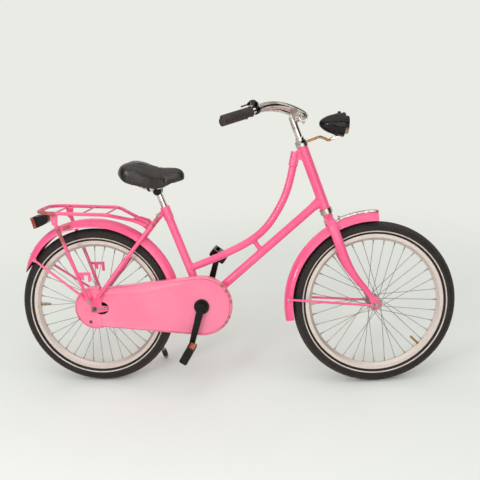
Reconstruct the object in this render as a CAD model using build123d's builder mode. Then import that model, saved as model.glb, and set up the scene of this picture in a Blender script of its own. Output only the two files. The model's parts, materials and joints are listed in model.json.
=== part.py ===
"""Child's step-through bicycle with 22 inch wheels, a closed chain case, a luggage rack and a side stand.

All pieces are drawn on the upright bicycle: origin at the rear axle's centre, +X forward, +Y to the
rider's left, +Z up, in millimetres. The last section leans the whole bicycle on its side stand and
writes every piece where it stands parked, with the floor at Z = 0.
"""

import os
from math import asin, cos, degrees, radians, sin, sqrt, tan

from build123d import *

os.makedirs("parts", exist_ok=True)

# ---------------------------------------------------------------- driving dimensions
# wheels (tyre size 47-457)
tyre_radius = 273
tyre_width = 46
rim_edge_radius = 232
rim_inner_radius = 211
rim_width = 27
spoke_count = 36
spoke_radius = 1.0
hub_flange_radius = 19
flange_thickness = 2.4
front_flange_y = 29
rear_flange_y = 26

# frame
wheelbase = 955
head_angle = 70.8
fork_offset = 45
crank_axis_x = 375.4
crank_axis_z = 4.5
seat_angle = 70.3
seat_tube_radius = 14.3
down_tube_radius = 14.3
top_tube_radius = 12.7
head_tube_radius = 17
tube_wall = 1.5
dropout_inner_y = 57
dropout_thickness = 4

# fork and steering, heights measured along the steering axis from axle height
head_bottom = 340
head_top = 557
fork_blade_y = 45
fork_end_y = 47

# parked pose
lean = 9
steered = 8

# mudguards
guard_radius = 303
rear_guard_radius = 301.5
rear_guard_shift = 8
guard_tail_radius = 221.5
guard_tail_joint = 114
guard_half_width = 29
guard_depth = 26
guard_wall = 1.2

# chain case
case_front_radius = 104
case_rear_radius = 66
case_cap_radius = 75
case_rear_x = 3
case_inner_y = -32
case_outer_y = -57
case_wall = 1.5

# cranks and pedals
crank_length = 152
crank_inner_y = 66
crank_thickness = 12
crank_turn = 16.5

# rack
rack_rear_z = 344
rack_bend_z = 331
rack_half_width = 96
rack_tube = 6


def unit(angle):
    """Direction in the bicycle's side plane, in degrees up from straight ahead."""
    return Vector(cos(radians(angle)), 0, sin(radians(angle)))


steering = Plane(
    origin=(wheelbase - fork_offset / sin(radians(head_angle)), 0, 0),
    x_dir=unit(90 - head_angle),
    z_dir=unit(180 - head_angle),
)
crank_axis = Vector(crank_axis_x, 0, crank_axis_z)
front_axle = Vector(wheelbase, 0, 0)


def on_steering(along, ahead=0.0, side=0.0):
    """A point by its height along the steering axis, its distance ahead of it and its side."""
    return steering.from_local_coords(Vector(ahead, side, along))


def on_seat_tube(height, side=0.0):
    """A point of the seat tube's centre line at a height above the axles."""
    back = (height - crank_axis_z) / tan(radians(seat_angle))
    return Vector(crank_axis_x - back, side, height)


def straight(start, end, radius, wall=0.0, mode=Mode.ADD):
    """A straight tube, or a rod where the wall is 0, added to the piece being built."""
    run = Vector(*end) - Vector(*start)
    with BuildSketch(Plane(origin=start, z_dir=run)) as section:
        Circle(radius)
        if wall:
            Circle(radius - wall, mode=Mode.SUBTRACT)
    extrude(section.sketch, amount=run.length, mode=mode)


def taper(start, end, first_radius, last_radius):
    """A straight rod that changes its radius from one end to the other."""
    run = Vector(*end) - Vector(*start)
    with BuildSketch(Plane(origin=start, z_dir=run)) as first:
        Circle(first_radius)
    with BuildSketch(Plane(origin=end, z_dir=run)) as last:
        Circle(last_radius)
    loft([first.sketch, last.sketch])


def bent(points, radius, wall=0.0, mode=Mode.ADD):
    """A tube along a smooth curve through the points."""
    with BuildLine() as route:
        Spline(*points)
    with BuildSketch(Plane(origin=route.line @ 0, z_dir=route.line % 0)) as section:
        Circle(radius)
        if wall:
            Circle(radius - wall, mode=Mode.SUBTRACT)
    sweep(section.sketch, path=route.line, mode=mode)


def folded(points, radius, bend):
    """A rod along straight runs joined by bends of one radius."""
    with BuildLine() as route:
        FilletPolyline(*points, radius=bend)
    with BuildSketch(Plane(origin=route.line @ 0, z_dir=route.line % 0)) as section:
        Circle(radius)
    sweep(section.sketch, path=route.line)


def cross_plate(outline, y_from, y_to):
    """A flat plate whose outline lies in the side plane, between two distances to the left."""
    side_plane = Plane(origin=(0, y_from, 0), x_dir=(1, 0, 0), z_dir=(0, -1, 0))
    with BuildSketch(side_plane) as section:
        with BuildLine():
            Polyline(*outline, close=True)
        make_face()
    extrude(section.sketch, amount=y_from - y_to)


def cross_rod(centre, radius, y_from, y_to, mode=Mode.ADD):
    """A round bar across the bicycle, parallel to the axles."""
    middle = Vector(*centre)
    straight((middle.X, y_from, middle.Z), (middle.X, y_to, middle.Z), radius, mode=mode)


# ---------------------------------------------------------------- wheels
def wheel_sketch_plane(centre):
    """Plane that holds a wheel's section: X outward from the axle, Y along the axle."""
    return Plane(origin=centre, x_dir=(0, 0, 1), z_dir=(-1, 0, 0))


def make_tyre(centre):
    """Tyre as a ring with a round tread and beads that sit on the rim."""
    with BuildPart() as tyre:
        plane = wheel_sketch_plane(centre)
        section_radius = tyre_width / 2
        with BuildSketch(plane):
            with Locations((tyre_radius - section_radius, 0)):
                Circle(section_radius)
            with Locations((rim_inner_radius, 0)):
                Rectangle(2 * (rim_edge_radius - rim_inner_radius) + 0.4, 60, mode=Mode.SUBTRACT)
            with Locations((rim_edge_radius - 4, 0)):
                Rectangle(10, rim_width - 6.6)
        revolve(axis=Axis(centre, (0, 1, 0)))
    return tyre


def make_rim(centre):
    """Rim with two side walls, a well and an outer edge on each side."""
    with BuildPart() as rim:
        half = rim_width / 2
        deep = rim_inner_radius
        edge = rim_edge_radius
        with BuildSketch(wheel_sketch_plane(centre)):
            with BuildLine():
                Polyline(
                    (deep, -5), (deep, 5), (deep + 9, half - 0.5), (edge, half), (edge, half - 2),
                    (edge - 10, half - 3), (edge - 11, 0), (edge - 10, 3 - half), (edge, 2 - half),
                    (edge, -half), (deep + 9, 0.5 - half), close=True,
                )
            make_face()
        revolve(axis=Axis(centre, (0, 1, 0)))
    return rim


def make_hub(centre, flange_y, barrel_radius, bore):
    """Hub shell: a barrel between two spoke flanges, turning on the axle."""
    flange_edge = hub_flange_radius + 4
    half = flange_thickness / 2
    with BuildPart() as hub:
        with BuildSketch(wheel_sketch_plane(centre)):
            with BuildLine():
                Polyline(
                    (bore, -flange_y - 9), (10, -flange_y - 9), (12, -flange_y - 2),
                    (flange_edge, -flange_y - half), (flange_edge, -flange_y + half),
                    (barrel_radius + 0.5, -flange_y + half), (barrel_radius, -flange_y + 6),
                    (barrel_radius, flange_y - 6), (barrel_radius + 0.5, flange_y - half),
                    (flange_edge, flange_y - half), (flange_edge, flange_y + half),
                    (12, flange_y + 2), (10, flange_y + 9), (bore, flange_y + 9), close=True,
                )
            make_face()
        revolve(axis=Axis(centre, (0, 1, 0)))
    return hub


def make_spokes(centre, flange_y):
    """Spokes laced three-cross: each leaves its flange nearly tangentially and ends in the rim."""
    per_flange = spoke_count // 2
    lead = 360 / per_flange * 3.2
    with BuildPart() as spokes:
        for number in range(spoke_count):
            side = 1 if number % 2 else -1
            turn = 1 if number % 4 < 2 else -1
            at_rim = number * 360 / spoke_count
            at_hub = at_rim + turn * lead
            outer = centre + unit(at_rim) * (rim_inner_radius - 1.5)
            inner = centre + unit(at_hub) * hub_flange_radius
            beside = 3.9 if turn > 0 else -2.8
            start = inner + Vector(0, side * (flange_y + beside), 0)
            straight(start, outer, spoke_radius)
    return spokes


rear_tyre = make_tyre(Vector(0, 0, 0))
rear_rim = make_rim(Vector(0, 0, 0))
rear_hub = make_hub(Vector(0, 0, 0), rear_flange_y, 17, 5.5)
rear_spokes = make_spokes(Vector(0, 0, 0), rear_flange_y)
front_tyre = make_tyre(front_axle)
front_rim = make_rim(front_axle)
front_hub = make_hub(front_axle, front_flange_y, 11, 5)
front_spokes = make_spokes(front_axle, front_flange_y)

# ---------------------------------------------------------------- main frame
head_foot = on_steering(head_bottom)
down_tube_top = on_steering(head_bottom + 32)
socket_low = Vector(692, 0, 466)
socket_high = Vector(702, 0, 510)

top_tube_route = [
    on_seat_tube(127), Vector(405, 0, 154), Vector(476, 0, 184), Vector(547, 0, 221),
    Vector(600, 0, 265), Vector(636, 0, 315), Vector(664, 0, 368), Vector(683, 0, 425),
    socket_low + (socket_high - socket_low) * 0.48,
]

with BuildPart() as head_tube:
    straight(head_foot, on_steering(head_top), head_tube_radius)
    # socket for the swept top tube, and the web that carries it
    straight(socket_low, socket_high, top_tube_radius + 2.5)
    with BuildSketch(Plane.XZ.offset(-11)):
        with BuildLine():
            Polyline((699, 468), (740, 468), (722, 524), (702, 512), close=True)
        make_face()
        with Locations((716, 474)):
            Circle(10, mode=Mode.SUBTRACT)
        with Locations((716, 468)):
            Rectangle(20, 12, mode=Mode.SUBTRACT)
    extrude(amount=22)
    # short sleeve round the end of the down tube
    sleeve_end = down_tube_top + (crank_axis - down_tube_top).normalized() * 34
    straight(down_tube_top, sleeve_end, down_tube_radius + 2)
    straight(on_steering(head_bottom - 1), on_steering(head_top + 1), 15, mode=Mode.SUBTRACT)
    bent(top_tube_route, top_tube_radius + 0.1, mode=Mode.SUBTRACT)
    into_sleeve = down_tube_top + (crank_axis - down_tube_top).normalized() * 20
    straight(into_sleeve, sleeve_end + (sleeve_end - into_sleeve), down_tube_radius + 0.05,
             mode=Mode.SUBTRACT)

with BuildPart() as down_tube:
    straight(into_sleeve, crank_axis, down_tube_radius, tube_wall)
    cross_rod(crank_axis, 20.05, -40, 40, mode=Mode.SUBTRACT)
    straight(crank_axis, on_seat_tube(80), seat_tube_radius + 0.1, mode=Mode.SUBTRACT)

with BuildPart() as bottom_bracket_shell:
    cross_rod(crank_axis, 20, -34, 34)
    cross_rod(crank_axis, 17, -24, 24, mode=Mode.SUBTRACT)
    cross_rod(crank_axis, 8.5, -40, 40, mode=Mode.SUBTRACT)

with BuildPart() as seat_tube:
    straight(crank_axis, on_seat_tube(318), seat_tube_radius, tube_wall)
    cross_rod(crank_axis, 20.05, -40, 40, mode=Mode.SUBTRACT)

with BuildPart() as top_tube:
    bent(top_tube_route, top_tube_radius, tube_wall)
    straight(on_seat_tube(60), on_seat_tube(200), seat_tube_radius + 0.05, mode=Mode.SUBTRACT)

with BuildPart() as tube_bridge:
    straight((551, 0, 226), (584, 0, 176), 8)
    straight(into_sleeve, crank_axis, down_tube_radius + 0.05, mode=Mode.SUBTRACT)
    bent(top_tube_route, top_tube_radius + 0.05, mode=Mode.SUBTRACT)

seat_stay_top = on_seat_tube(317)
with BuildPart() as seat_lug:
    straight(on_seat_tube(300), on_seat_tube(341), seat_tube_radius + 2.2)
    cross_rod((seat_stay_top.X - 18, 0, seat_stay_top.Z + 2), 6.5, -17, 17)
    with BuildSketch(Plane.XZ.offset(-7)):
        with BuildLine():
            Polyline((seat_stay_top.X - 20, 313), (seat_stay_top.X, 306), (seat_stay_top.X - 8, 334),
                     (seat_stay_top.X - 22, 326), close=True)
        make_face()
    extrude(amount=14)
    straight(on_seat_tube(280), on_seat_tube(318), seat_tube_radius + 0.05, mode=Mode.SUBTRACT)
    straight(on_seat_tube(310), on_seat_tube(350), 11.2, mode=Mode.SUBTRACT)

# ---------------------------------------------------------------- rear triangle
stay_foot_x = 20


def make_seat_stay(side):
    """Seat stay: slim above, a thicker sleeve below, outside the mudguard."""
    top = Vector(seat_stay_top.X - 18, side * 24.5, seat_stay_top.Z + 1)
    shoulder = Vector(209, side * 39, 278)
    step = Vector(122, side * 52, 173)
    foot = Vector(stay_foot_x, side * 69.5, 46)
    taper(step, foot, 9, 6.5)
    straight(shoulder, step, 7.2)
    straight(top, shoulder, 7.2)
    with Locations(shoulder):
        Sphere(7.2)


def make_chain_stay(side):
    """Chain stay from the bottom bracket, round the tyre, to the dropout."""
    route = [
        (crank_axis_x - 15, side * 24, crank_axis_z - 1), (300, side * 36, 3), (200, side * 43, 3),
        (100, side * 46.5, 2), (30, side * 49, 0),
    ]
    with BuildLine() as line:
        Spline(*route)
    with BuildSketch(Plane(origin=line.line @ 0, z_dir=line.line % 0)) as section:
        Circle(6.5)
    sweep(section.sketch, path=line.line)


with BuildPart() as seat_stays:
    make_seat_stay(-1)
    make_seat_stay(1)

with BuildPart() as chain_stays:
    make_chain_stay(-1)
    make_chain_stay(1)
    cross_rod(crank_axis, 20.05, -60, 60, mode=Mode.SUBTRACT)

with BuildPart() as rear_dropouts:
    plate = [
        (-14, -12), (-14, 10), (-20, 36), (-10, 46), (4, 34), (14, 52), (32, 60), (40, 48), (26, 26),
        (26, 12), (48, 9), (48, -7), (10, -14),
    ]
    for side in (-1, 1):
        y_near = side * dropout_inner_y
        y_far = side * (dropout_inner_y + dropout_thickness)
        cross_plate(plate, max(y_near, y_far), min(y_near, y_far))
    cross_rod((0, 0, 0), 5.2, -70, 70, mode=Mode.SUBTRACT)

with BuildPart() as rear_axle:
    cross_rod((0, 0, 0), 5, -78, 78)
    for side in (-1, 1):
        cross_rod((0, 0, 0), 8.5, side * 61, side * 69)
        cross_rod((0, 0, 0), 8, side * 35.5, side * 57)

# ---------------------------------------------------------------- mudguards
def guard_section(centre, angle):
    """Sketch plane across a mudguard at an angle up from straight ahead: X outward, Y to the left."""
    outward = unit(angle)
    return Plane(origin=centre, x_dir=outward, z_dir=outward.cross(Vector(0, 1, 0)))


def pressed_channel(centre, first, last, radius):
    """Channel bent round a centre from the first to the last angle, added to the piece being built."""
    edge = radius - guard_depth
    inner_edge = guard_half_width - guard_wall
    with BuildSketch(guard_section(centre, first)) as section:
        with BuildLine():
            ThreePointArc((edge, -guard_half_width), (radius, 0), (edge, guard_half_width))
            Line((edge, guard_half_width), (edge, inner_edge))
            ThreePointArc((edge, inner_edge), (radius - guard_wall, 0), (edge, -inner_edge))
            Line((edge, -inner_edge), (edge, -guard_half_width))
        make_face()
    revolve(section.sketch, axis=Axis(centre, (0, -1, 0)), revolution_arc=last - first)


with BuildPart() as rear_guard:
    # over the wheel, standing off a little behind it, then a tighter tail cut slantwise to a point
    guard_centre = unit(135) * rear_guard_shift
    tail_centre = guard_centre + unit(guard_tail_joint) * (rear_guard_radius - guard_tail_radius)
    pressed_channel(guard_centre, 8, guard_tail_joint, rear_guard_radius)
    pressed_channel(tail_centre, guard_tail_joint, 172, guard_tail_radius)
    with BuildSketch(Plane.XZ.offset(-40)) as tail_cut:
        with BuildLine():
            Polyline((-259, 117), (-218, 168), (-150, 168), (-150, 40), (-290, 40), close=True)
        make_face()
    extrude(tail_cut.sketch, amount=80, mode=Mode.SUBTRACT)

with BuildPart() as front_guard:
    pressed_channel(front_axle, 87, 190, guard_radius)

# ---------------------------------------------------------------- chain case
def case_outline(front_radius, rear_radius):
    """Outline of the case: two discs joined by their outer tangents, in the side plane."""
    reach = crank_axis_x - case_rear_x
    tilt = degrees(asin((front_radius - rear_radius) / reach))
    outline = []
    for sign in (1, -1):
        outward = Vector(-sin(radians(tilt)), sign * cos(radians(tilt)))
        rear_point = Vector(case_rear_x, 2) + outward * rear_radius
        front_point = Vector(crank_axis_x, crank_axis_z) + outward * front_radius
        outline.append((rear_point, front_point))
    (upper_rear, upper_front), (lower_rear, lower_front) = outline
    Line(upper_rear, upper_front)
    ThreePointArc(upper_front, (crank_axis_x + front_radius, crank_axis_z), lower_front)
    Line(lower_front, lower_rear)
    ThreePointArc(lower_rear, (case_rear_x - rear_radius, 2), upper_rear)


side_view = Plane(origin=(0, case_inner_y, 0), x_dir=(1, 0, 0), z_dir=(0, -1, 0))
case_depth = case_inner_y - case_outer_y
case_joint_x = 21

case_edge = 7


def split_outline(sketch_plane, outline_inset, keep_front):
    """Outline of the case in front of its joint, or the disc behind it, added as a sketch."""
    with BuildSketch(sketch_plane) as section:
        if keep_front:
            with BuildLine():
                case_outline(case_front_radius - outline_inset, case_rear_radius - outline_inset)
            make_face()
        else:
            with Locations((2, 2)):
                Circle(case_cap_radius - outline_inset)
        side = -1 if keep_front else 1
        beyond = outline_inset - (0 if keep_front else 0.5)
        with Locations((case_joint_x + side * (300 + beyond), 0)):
            Rectangle(600, 600, mode=Mode.SUBTRACT)
    return section


def rounded_box(outline_inset, keep_front):
    """Block between the case's two side walls, with its outer edge rounded."""
    with BuildPart() as block:
        section = split_outline(side_view.offset(outline_inset), outline_inset, keep_front)
        extrude(section.sketch, amount=case_depth - 2 * outline_inset)
        outer_edges = block.faces().sort_by(Axis.Y)[0].edges().sort_by(Axis.X)
        rounded = outer_edges[1:] if keep_front else outer_edges[:-1]
        fillet(rounded, radius=case_edge - outline_inset)
    return block


case_block = rounded_box(0, True)
case_space = rounded_box(case_wall, True)
cap_block = rounded_box(0, False)
cap_space = rounded_box(case_wall, False)

with BuildPart() as chain_case:
    add(case_block.part)
    add(case_space.part, mode=Mode.SUBTRACT)
    cross_rod(crank_axis, 24, -45, case_outer_y - 5, mode=Mode.SUBTRACT)
    cross_rod(crank_axis, 21, case_inner_y + 5, -45, mode=Mode.SUBTRACT)
    # slot in the inner wall for the chain stay, and the mouth in the outer wall round the dropout
    with BuildSketch(side_view.offset(-5)) as slot:
        with Locations((crank_axis_x - 71, 3)):
            Rectangle(122, 23)
    extrude(slot.sketch, amount=10, mode=Mode.SUBTRACT)
    with BuildSketch(side_view.offset(case_depth - 5)) as mouth:
        with Locations((24, 2)):
            Ellipse(26, 22)
    extrude(mouth.sketch, amount=10, mode=Mode.SUBTRACT)

with BuildPart() as chain_case_cap:
    add(cap_block.part)
    add(cap_space.part, mode=Mode.SUBTRACT)
    cross_rod((0, 0, 0), 20, case_inner_y + 5, case_inner_y - 5, mode=Mode.SUBTRACT)
    with BuildSketch(side_view.offset(case_depth - 5)) as cap_mouth:
        with Locations((24, 2)):
            Ellipse(26, 22)
        Circle(11)
    extrude(cap_mouth.sketch, amount=10, mode=Mode.SUBTRACT)

# ---------------------------------------------------------------- fork and steering
with BuildPart() as headset_cups:
    straight(on_steering(head_bottom - 18), on_steering(head_bottom), 20.5)
    straight(on_steering(head_top), on_steering(head_top + 11), 20)
    straight(on_steering(head_bottom - 30), on_steering(head_top + 30), 13.2, mode=Mode.SUBTRACT)

with BuildPart() as headset_locknut:
    with BuildSketch(steering.offset(head_top + 11.5)) as nut_section:
        RegularPolygon(radius=20, side_count=8)
    extrude(amount=8.5)
    straight(on_steering(head_top + 20), on_steering(head_top + 27), 15)
    straight(on_steering(head_top), on_steering(head_top + 40), 12.75, mode=Mode.SUBTRACT)

crown_foot = 290


def make_fork_blade(side, around=0.0, mode=Mode.ADD):
    """Oval blade from the crown, straight along the steering axis, then swept forward to the axle."""
    stations = [
        (crown_foot + 8, 0, 30, 15.5, 10), (crown_foot - 14, 0, 40, 15.8, 9.5),
        (crown_foot - 45, 0, fork_blade_y, 15.8, 9.2), (175, 0, fork_blade_y, 15.5, 9.2),
        (122, 6, fork_blade_y + 1, 13, 8.6), (66, 22, fork_blade_y + 2, 10.5, 7.6),
        (12, 38.5, fork_end_y, 8.5, 5),
    ]
    sections = []
    for number, (along, ahead, out, long_radius, short_radius) in enumerate(stations):
        before = stations[max(number - 1, 0)]
        after = stations[min(number + 1, len(stations) - 1)]
        run = on_steering(after[0], after[1], side * after[2]) - on_steering(
            before[0], before[1], side * before[2])
        across = Vector(0, 1, 0).cross(run) * -1
        with BuildSketch(Plane(origin=on_steering(along, ahead, side * out), x_dir=across,
                               z_dir=run)) as section:
            Ellipse(long_radius + around, short_radius + around)
        sections.append(section.sketch)
    loft(sections, mode=mode)


with BuildPart() as fork_crown:
    straight(on_steering(head_bottom - 18.5), on_steering(head_top + 25), 12.7, 2.0)
    straight(on_steering(crown_foot), on_steering(head_bottom - 18.5), 16)
    for side in (-1, 1):
        straight(on_steering(crown_foot + 16, 0, 0), on_steering(crown_foot + 6, 0, side * 34), 14)
    for side in (-1, 1):
        make_fork_blade(side, 0.15, Mode.SUBTRACT)

with BuildPart() as fork_blades:
    make_fork_blade(-1)
    make_fork_blade(1)
    end_plate = [
        on_steering(22, 31), on_steering(22, 46), on_steering(0, 58), on_steering(-20, 61),
        on_steering(-31, 52), on_steering(-32, 40), on_steering(-22, 31), on_steering(0, 29),
    ]
    outline = [(point.X, point.Z) for point in end_plate]
    for side in (-1, 1):
        cross_plate(outline, side * fork_end_y + 2, side * fork_end_y - 2)
    cross_rod(front_axle, 4.85, -60, 60, mode=Mode.SUBTRACT)

with BuildPart() as front_axle_rod:
    cross_rod(front_axle, 4.8, -62, 62)
    for side in (-1, 1):
        cross_rod(front_axle, 8, side * 49, side * 57)
        cross_rod(front_axle, 7.5, side * 38.5, side * 45)

bar_radius = 11.1
bar_centre = on_steering(646, 34)
clamp_half_width = 20
bar_start = bar_centre + Vector(0, clamp_half_width, 0)
bar_half = [
    bar_start, Vector(728.5, 38, 623), Vector(717, 70, 630.5), Vector(690, 106, 642),
    Vector(656, 143, 653), Vector(620, 174, 657), Vector(585, 202, 652), Vector(552, 230, 640),
]
grip_end = Vector(465, 272.5, 617)
grip_way = (grip_end - bar_half[-1]).normalized()


def mirror_y(point):
    """The same point on the other side of the bicycle."""
    return Vector(point.X, -point.Y, point.Z)


with BuildLine() as bar_route:
    right_half = [mirror_y(point) for point in reversed(bar_half)]
    bar_curve = Spline(*right_half, *bar_half, tangents=[mirror_y(grip_way) * -1, grip_way])
    Line(bar_half[-1], grip_end)
    Line(mirror_y(bar_half[-1]), mirror_y(grip_end))


def along_bar(radius, mode=Mode.ADD, wall=0.0):
    """A tube of this radius along the whole handlebar, added to the piece being built."""
    with BuildSketch(Plane(origin=mirror_y(grip_end), z_dir=mirror_y(grip_way) * -1)) as bar_section:
        Circle(radius)
        if wall:
            Circle(radius - wall, mode=Mode.SUBTRACT)
    sweep(bar_section.sketch, path=bar_route.wires()[0], mode=mode)


with BuildPart() as stem:
    straight(on_steering(head_top + 27.5), on_steering(658), 11.1)
    straight(on_steering(658), on_steering(664), 6)
    straight(bar_centre - Vector(0, 18, 0), bar_centre + Vector(0, 18, 0), 15.5)
    straight(on_steering(645, 2), on_steering(646, 26), 10)
    along_bar(bar_radius + 0.05, Mode.SUBTRACT)

with BuildPart() as handlebar:
    along_bar(bar_radius, wall=1.8)

with BuildPart() as grips:
    for start, stop in ((bar_half[-1], grip_end), (mirror_y(bar_half[-1]), mirror_y(grip_end))):
        beyond = (stop - start).normalized()
        straight(start, stop + beyond * 4, 15)
        straight(start, start + beyond * 5, 16.5)
        straight(start - beyond * 5, stop + beyond * 0.2, bar_radius + 0.05, mode=Mode.SUBTRACT)

with BuildPart() as bell:
    # small dome on a clip round the right-hand bar, with its thumb lever
    clip = bar_curve @ 0.028
    clip_way = bar_curve % 0.028
    dome_foot = clip + Vector(-9, 1, 13)
    straight(clip - clip_way * 5, clip + clip_way * 5, 14.5)
    straight(dome_foot, dome_foot + Vector(0, 0, 8), 17)
    with Locations(dome_foot + Vector(0, 0, 8)):
        Sphere(17, arc_size1=0)
    straight(clip - clip_way * 20, clip + clip_way * 20, 12.6, mode=Mode.SUBTRACT)
    straight(dome_foot + Vector(-12, 0, 4), dome_foot + Vector(-36, -2, -3), 2.2)

# ---------------------------------------------------------------- headlamp
lamp_tip = Vector(780, 0, 598)
lamp_front = Vector(883, 0, 588.5)
lamp_axis = (lamp_front - lamp_tip).normalized()
lamp_plane = Plane(origin=lamp_tip, x_dir=lamp_axis, z_dir=(0, 1, 0))

with BuildPart() as headlamp_shell:
    with BuildSketch(lamp_plane):
        with BuildLine():
            Spline((0, 0), (8, 14.5), (25, 25), (50, 33.5), (77, 38), tangents=[(0, 1), (1, 0.08)])
            Polyline((77, 38), (81.5, 38), (81.5, 28.5), (94.5, 28.5), (94.5, 25.5), (12, 0), (0, 0))
        make_face()
    revolve(axis=Axis(lamp_tip, lamp_axis))
    straight(lamp_tip + lamp_axis * 66 + Vector(0, 0, 30), lamp_tip + lamp_axis * 66 + Vector(0, 0, 42), 4)

with BuildPart() as headlamp_lens:
    with BuildSketch(lamp_plane):
        with BuildLine():
            Polyline((94.7, 0), (94.7, 25.3), (91.5, 24.3), (91.5, 0), close=True)
        make_face()
    revolve(axis=Axis(lamp_tip, lamp_axis))

with BuildPart() as headlamp_bracket:
    strip = [(742, 544), (781, 556), (810, 544.5), (822, 550), (836, 556)]
    under = [(x, z - 2.6) for x, z in reversed(strip)]
    cross_plate(strip + under, 9, -9)

# ---------------------------------------------------------------- saddle
with BuildPart() as seat_post:
    straight(on_seat_tube(262), on_seat_tube(398), 11.1, 1.8)

# each station: its place along the bicycle, its top, its lower edge and its half width
saddle_stations = [
    (106, 465, 447, 36), (122, 484, 438, 64), (150, 494, 424, 77), (188, 488, 413, 70),
    (228, 475, 404, 50), (262, 470, 408, 34), (298, 470, 421, 26), (318, 464, 425, 20),
    (331, 448, 430, 10),
]
pocket_stations = [
    (130, 458, 400, 52), (160, 466, 400, 62), (200, 458, 390, 50), (240, 450, 390, 32),
    (292, 448, 400, 15),
]


def arched_loft(stations, mode=Mode.ADD):
    """Body through arches across the bicycle: straight sides below, a round top above."""
    arches = []
    for station_x, top, lower, half_width in stations:
        shoulder = lower + (top - lower) * 0.45
        with BuildSketch(Plane(origin=(station_x, 0, 0), x_dir=(0, 1, 0), z_dir=(1, 0, 0))) as arch:
            with BuildLine():
                Line((-half_width, shoulder), (-half_width * 0.97, lower))
                Line((-half_width * 0.97, lower), (half_width * 0.97, lower))
                Line((half_width * 0.97, lower), (half_width, shoulder))
                Spline((half_width, shoulder), (0, top), (-half_width, shoulder),
                       tangents=[(0, 1), (0, -1)])
            make_face()
        arches.append(arch.sketch)
    loft(arches, mode=mode)


with BuildPart() as saddle:
    arched_loft(saddle_stations)
    arched_loft(pocket_stations, Mode.SUBTRACT)

with BuildPart() as saddle_frame:
    for side in (-1, 1):
        rail = [
            (138, side * 36, 440), (165, side * 27, 423), (198, side * 18, 406), (246, side * 18, 406),
            (284, side * 8, 424),
        ]
        folded(rail, 3.5, 8)
    straight((212, -25, 405), (212, 25, 405), 9)
    straight((228, -25, 404), (228, 25, 404), 9)
    cross_rod(on_seat_tube(396), 14.5, -17, 17)
    straight(on_seat_tube(370), on_seat_tube(420), 11.2, mode=Mode.SUBTRACT)

# ---------------------------------------------------------------- luggage rack
rack_front_y = 26
rack_bend_x = 73
rack_rear_x = -171
rack_corner = 50


def rack_height(x):
    """Height of the rack's rails, which run slightly downhill to their front bends."""
    slope = (rack_bend_z - rack_rear_z) / (rack_bend_x - rack_rear_x)
    return rack_rear_z + slope * (x - rack_rear_x)


with BuildPart() as rack_frame:
    half_loop = [
        (rack_rear_x, 0, rack_rear_z), (rack_rear_x, rack_half_width, rack_rear_z),
        (rack_bend_x, rack_half_width, rack_bend_z), (152, rack_front_y + 10, 302),
        (194, rack_front_y + 4, 281),
    ]
    folded(half_loop, rack_tube, rack_corner)
    folded([(x, -y, z) for x, y, z in half_loop], rack_tube, rack_corner)
    for bar_x in (-105, -12, 70):
        bar_end = rack_half_width - 1
        straight((bar_x, -bar_end, rack_height(bar_x)), (bar_x, bar_end, rack_height(bar_x)), 3)

leg_top = Vector(-107, 92, 312)
leg_foot = Vector(-11, 82, 30)
with BuildPart() as rack_legs:
    for side in (-1, 1):
        top = Vector(leg_top.X, side * leg_top.Y, leg_top.Z)
        foot = Vector(leg_foot.X, side * leg_foot.Y, leg_foot.Z)
        taper(top, foot, 7, 5.5)
        tab = [(-121, 334.5), (-93, 333.5), (-97, 303), (-107, 296), (-116, 303)]
        cross_plate(tab, max(side * 91, side * 94), min(side * 91, side * 94))
        # spacer between the leg's foot and the dropout
        cross_rod(leg_foot, 4.5, side * (dropout_inner_y + dropout_thickness + 0.2), foot.Y)

with BuildPart() as pannier_hooks:
    hook = [
        (-46, 137), (5, 137), (5, 104), (-5, 104), (-5, 126), (-19, 127), (-19, 110), (-29, 112),
        (-33, 127), (-46, 129),
    ]
    for side in (-1, 1):
        cross_plate(hook, max(side * 92.3, side * 95), min(side * 92.3, side * 95))

with BuildPart() as rack_front_plates:
    bracket = [
        (148, 309), (168, 307), (197, 297), (210, 278), (203, 265), (188, 270), (172, 286), (150, 296),
    ]
    for side in (-1, 1):
        cross_plate(bracket, max(side * 20, side * 23), min(side * 20, side * 23))
    straight((192, -20, 281), (192, 20, 281), 4)

with BuildPart() as rear_guard_stays:
    for side in (-1, 1):
        straight((-210, side * 33.8, 171), (-30, side * 65, 39), 4.3)

with BuildPart() as front_guard_stays:
    for side in (-1, 1):
        straight((666, side * 33.5, 24), (940, side * 53, -2), 4.0)

# ---------------------------------------------------------------- rear lamp
tail_plane = Plane(origin=(-196.5, -30, 302), x_dir=unit(15), z_dir=(0, -1, 0))
with BuildPart() as rear_lamp_housing:
    with BuildSketch(tail_plane.offset(-60)):
        with BuildLine():
            Polyline((0, 19), (53, 14), (47, -8), (38, -14), (20, -18), (0, -19), close=True)
        make_face()
    extrude(amount=60)
    straight((-171, 0, 320), (-171, 0, 337), 5)

with BuildPart() as rear_lamp_lens:
    with BuildSketch(tail_plane.offset(-62)):
        with Locations((-5.7, 0)):
            Rectangle(11, 40)
    extrude(amount=64)

# ---------------------------------------------------------------- cranks and pedals
down_right = Vector(-sin(radians(crank_turn)), 0, -cos(radians(crank_turn)))
crank_ends = {-1: crank_axis + down_right * crank_length, 1: crank_axis - down_right * crank_length}


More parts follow.
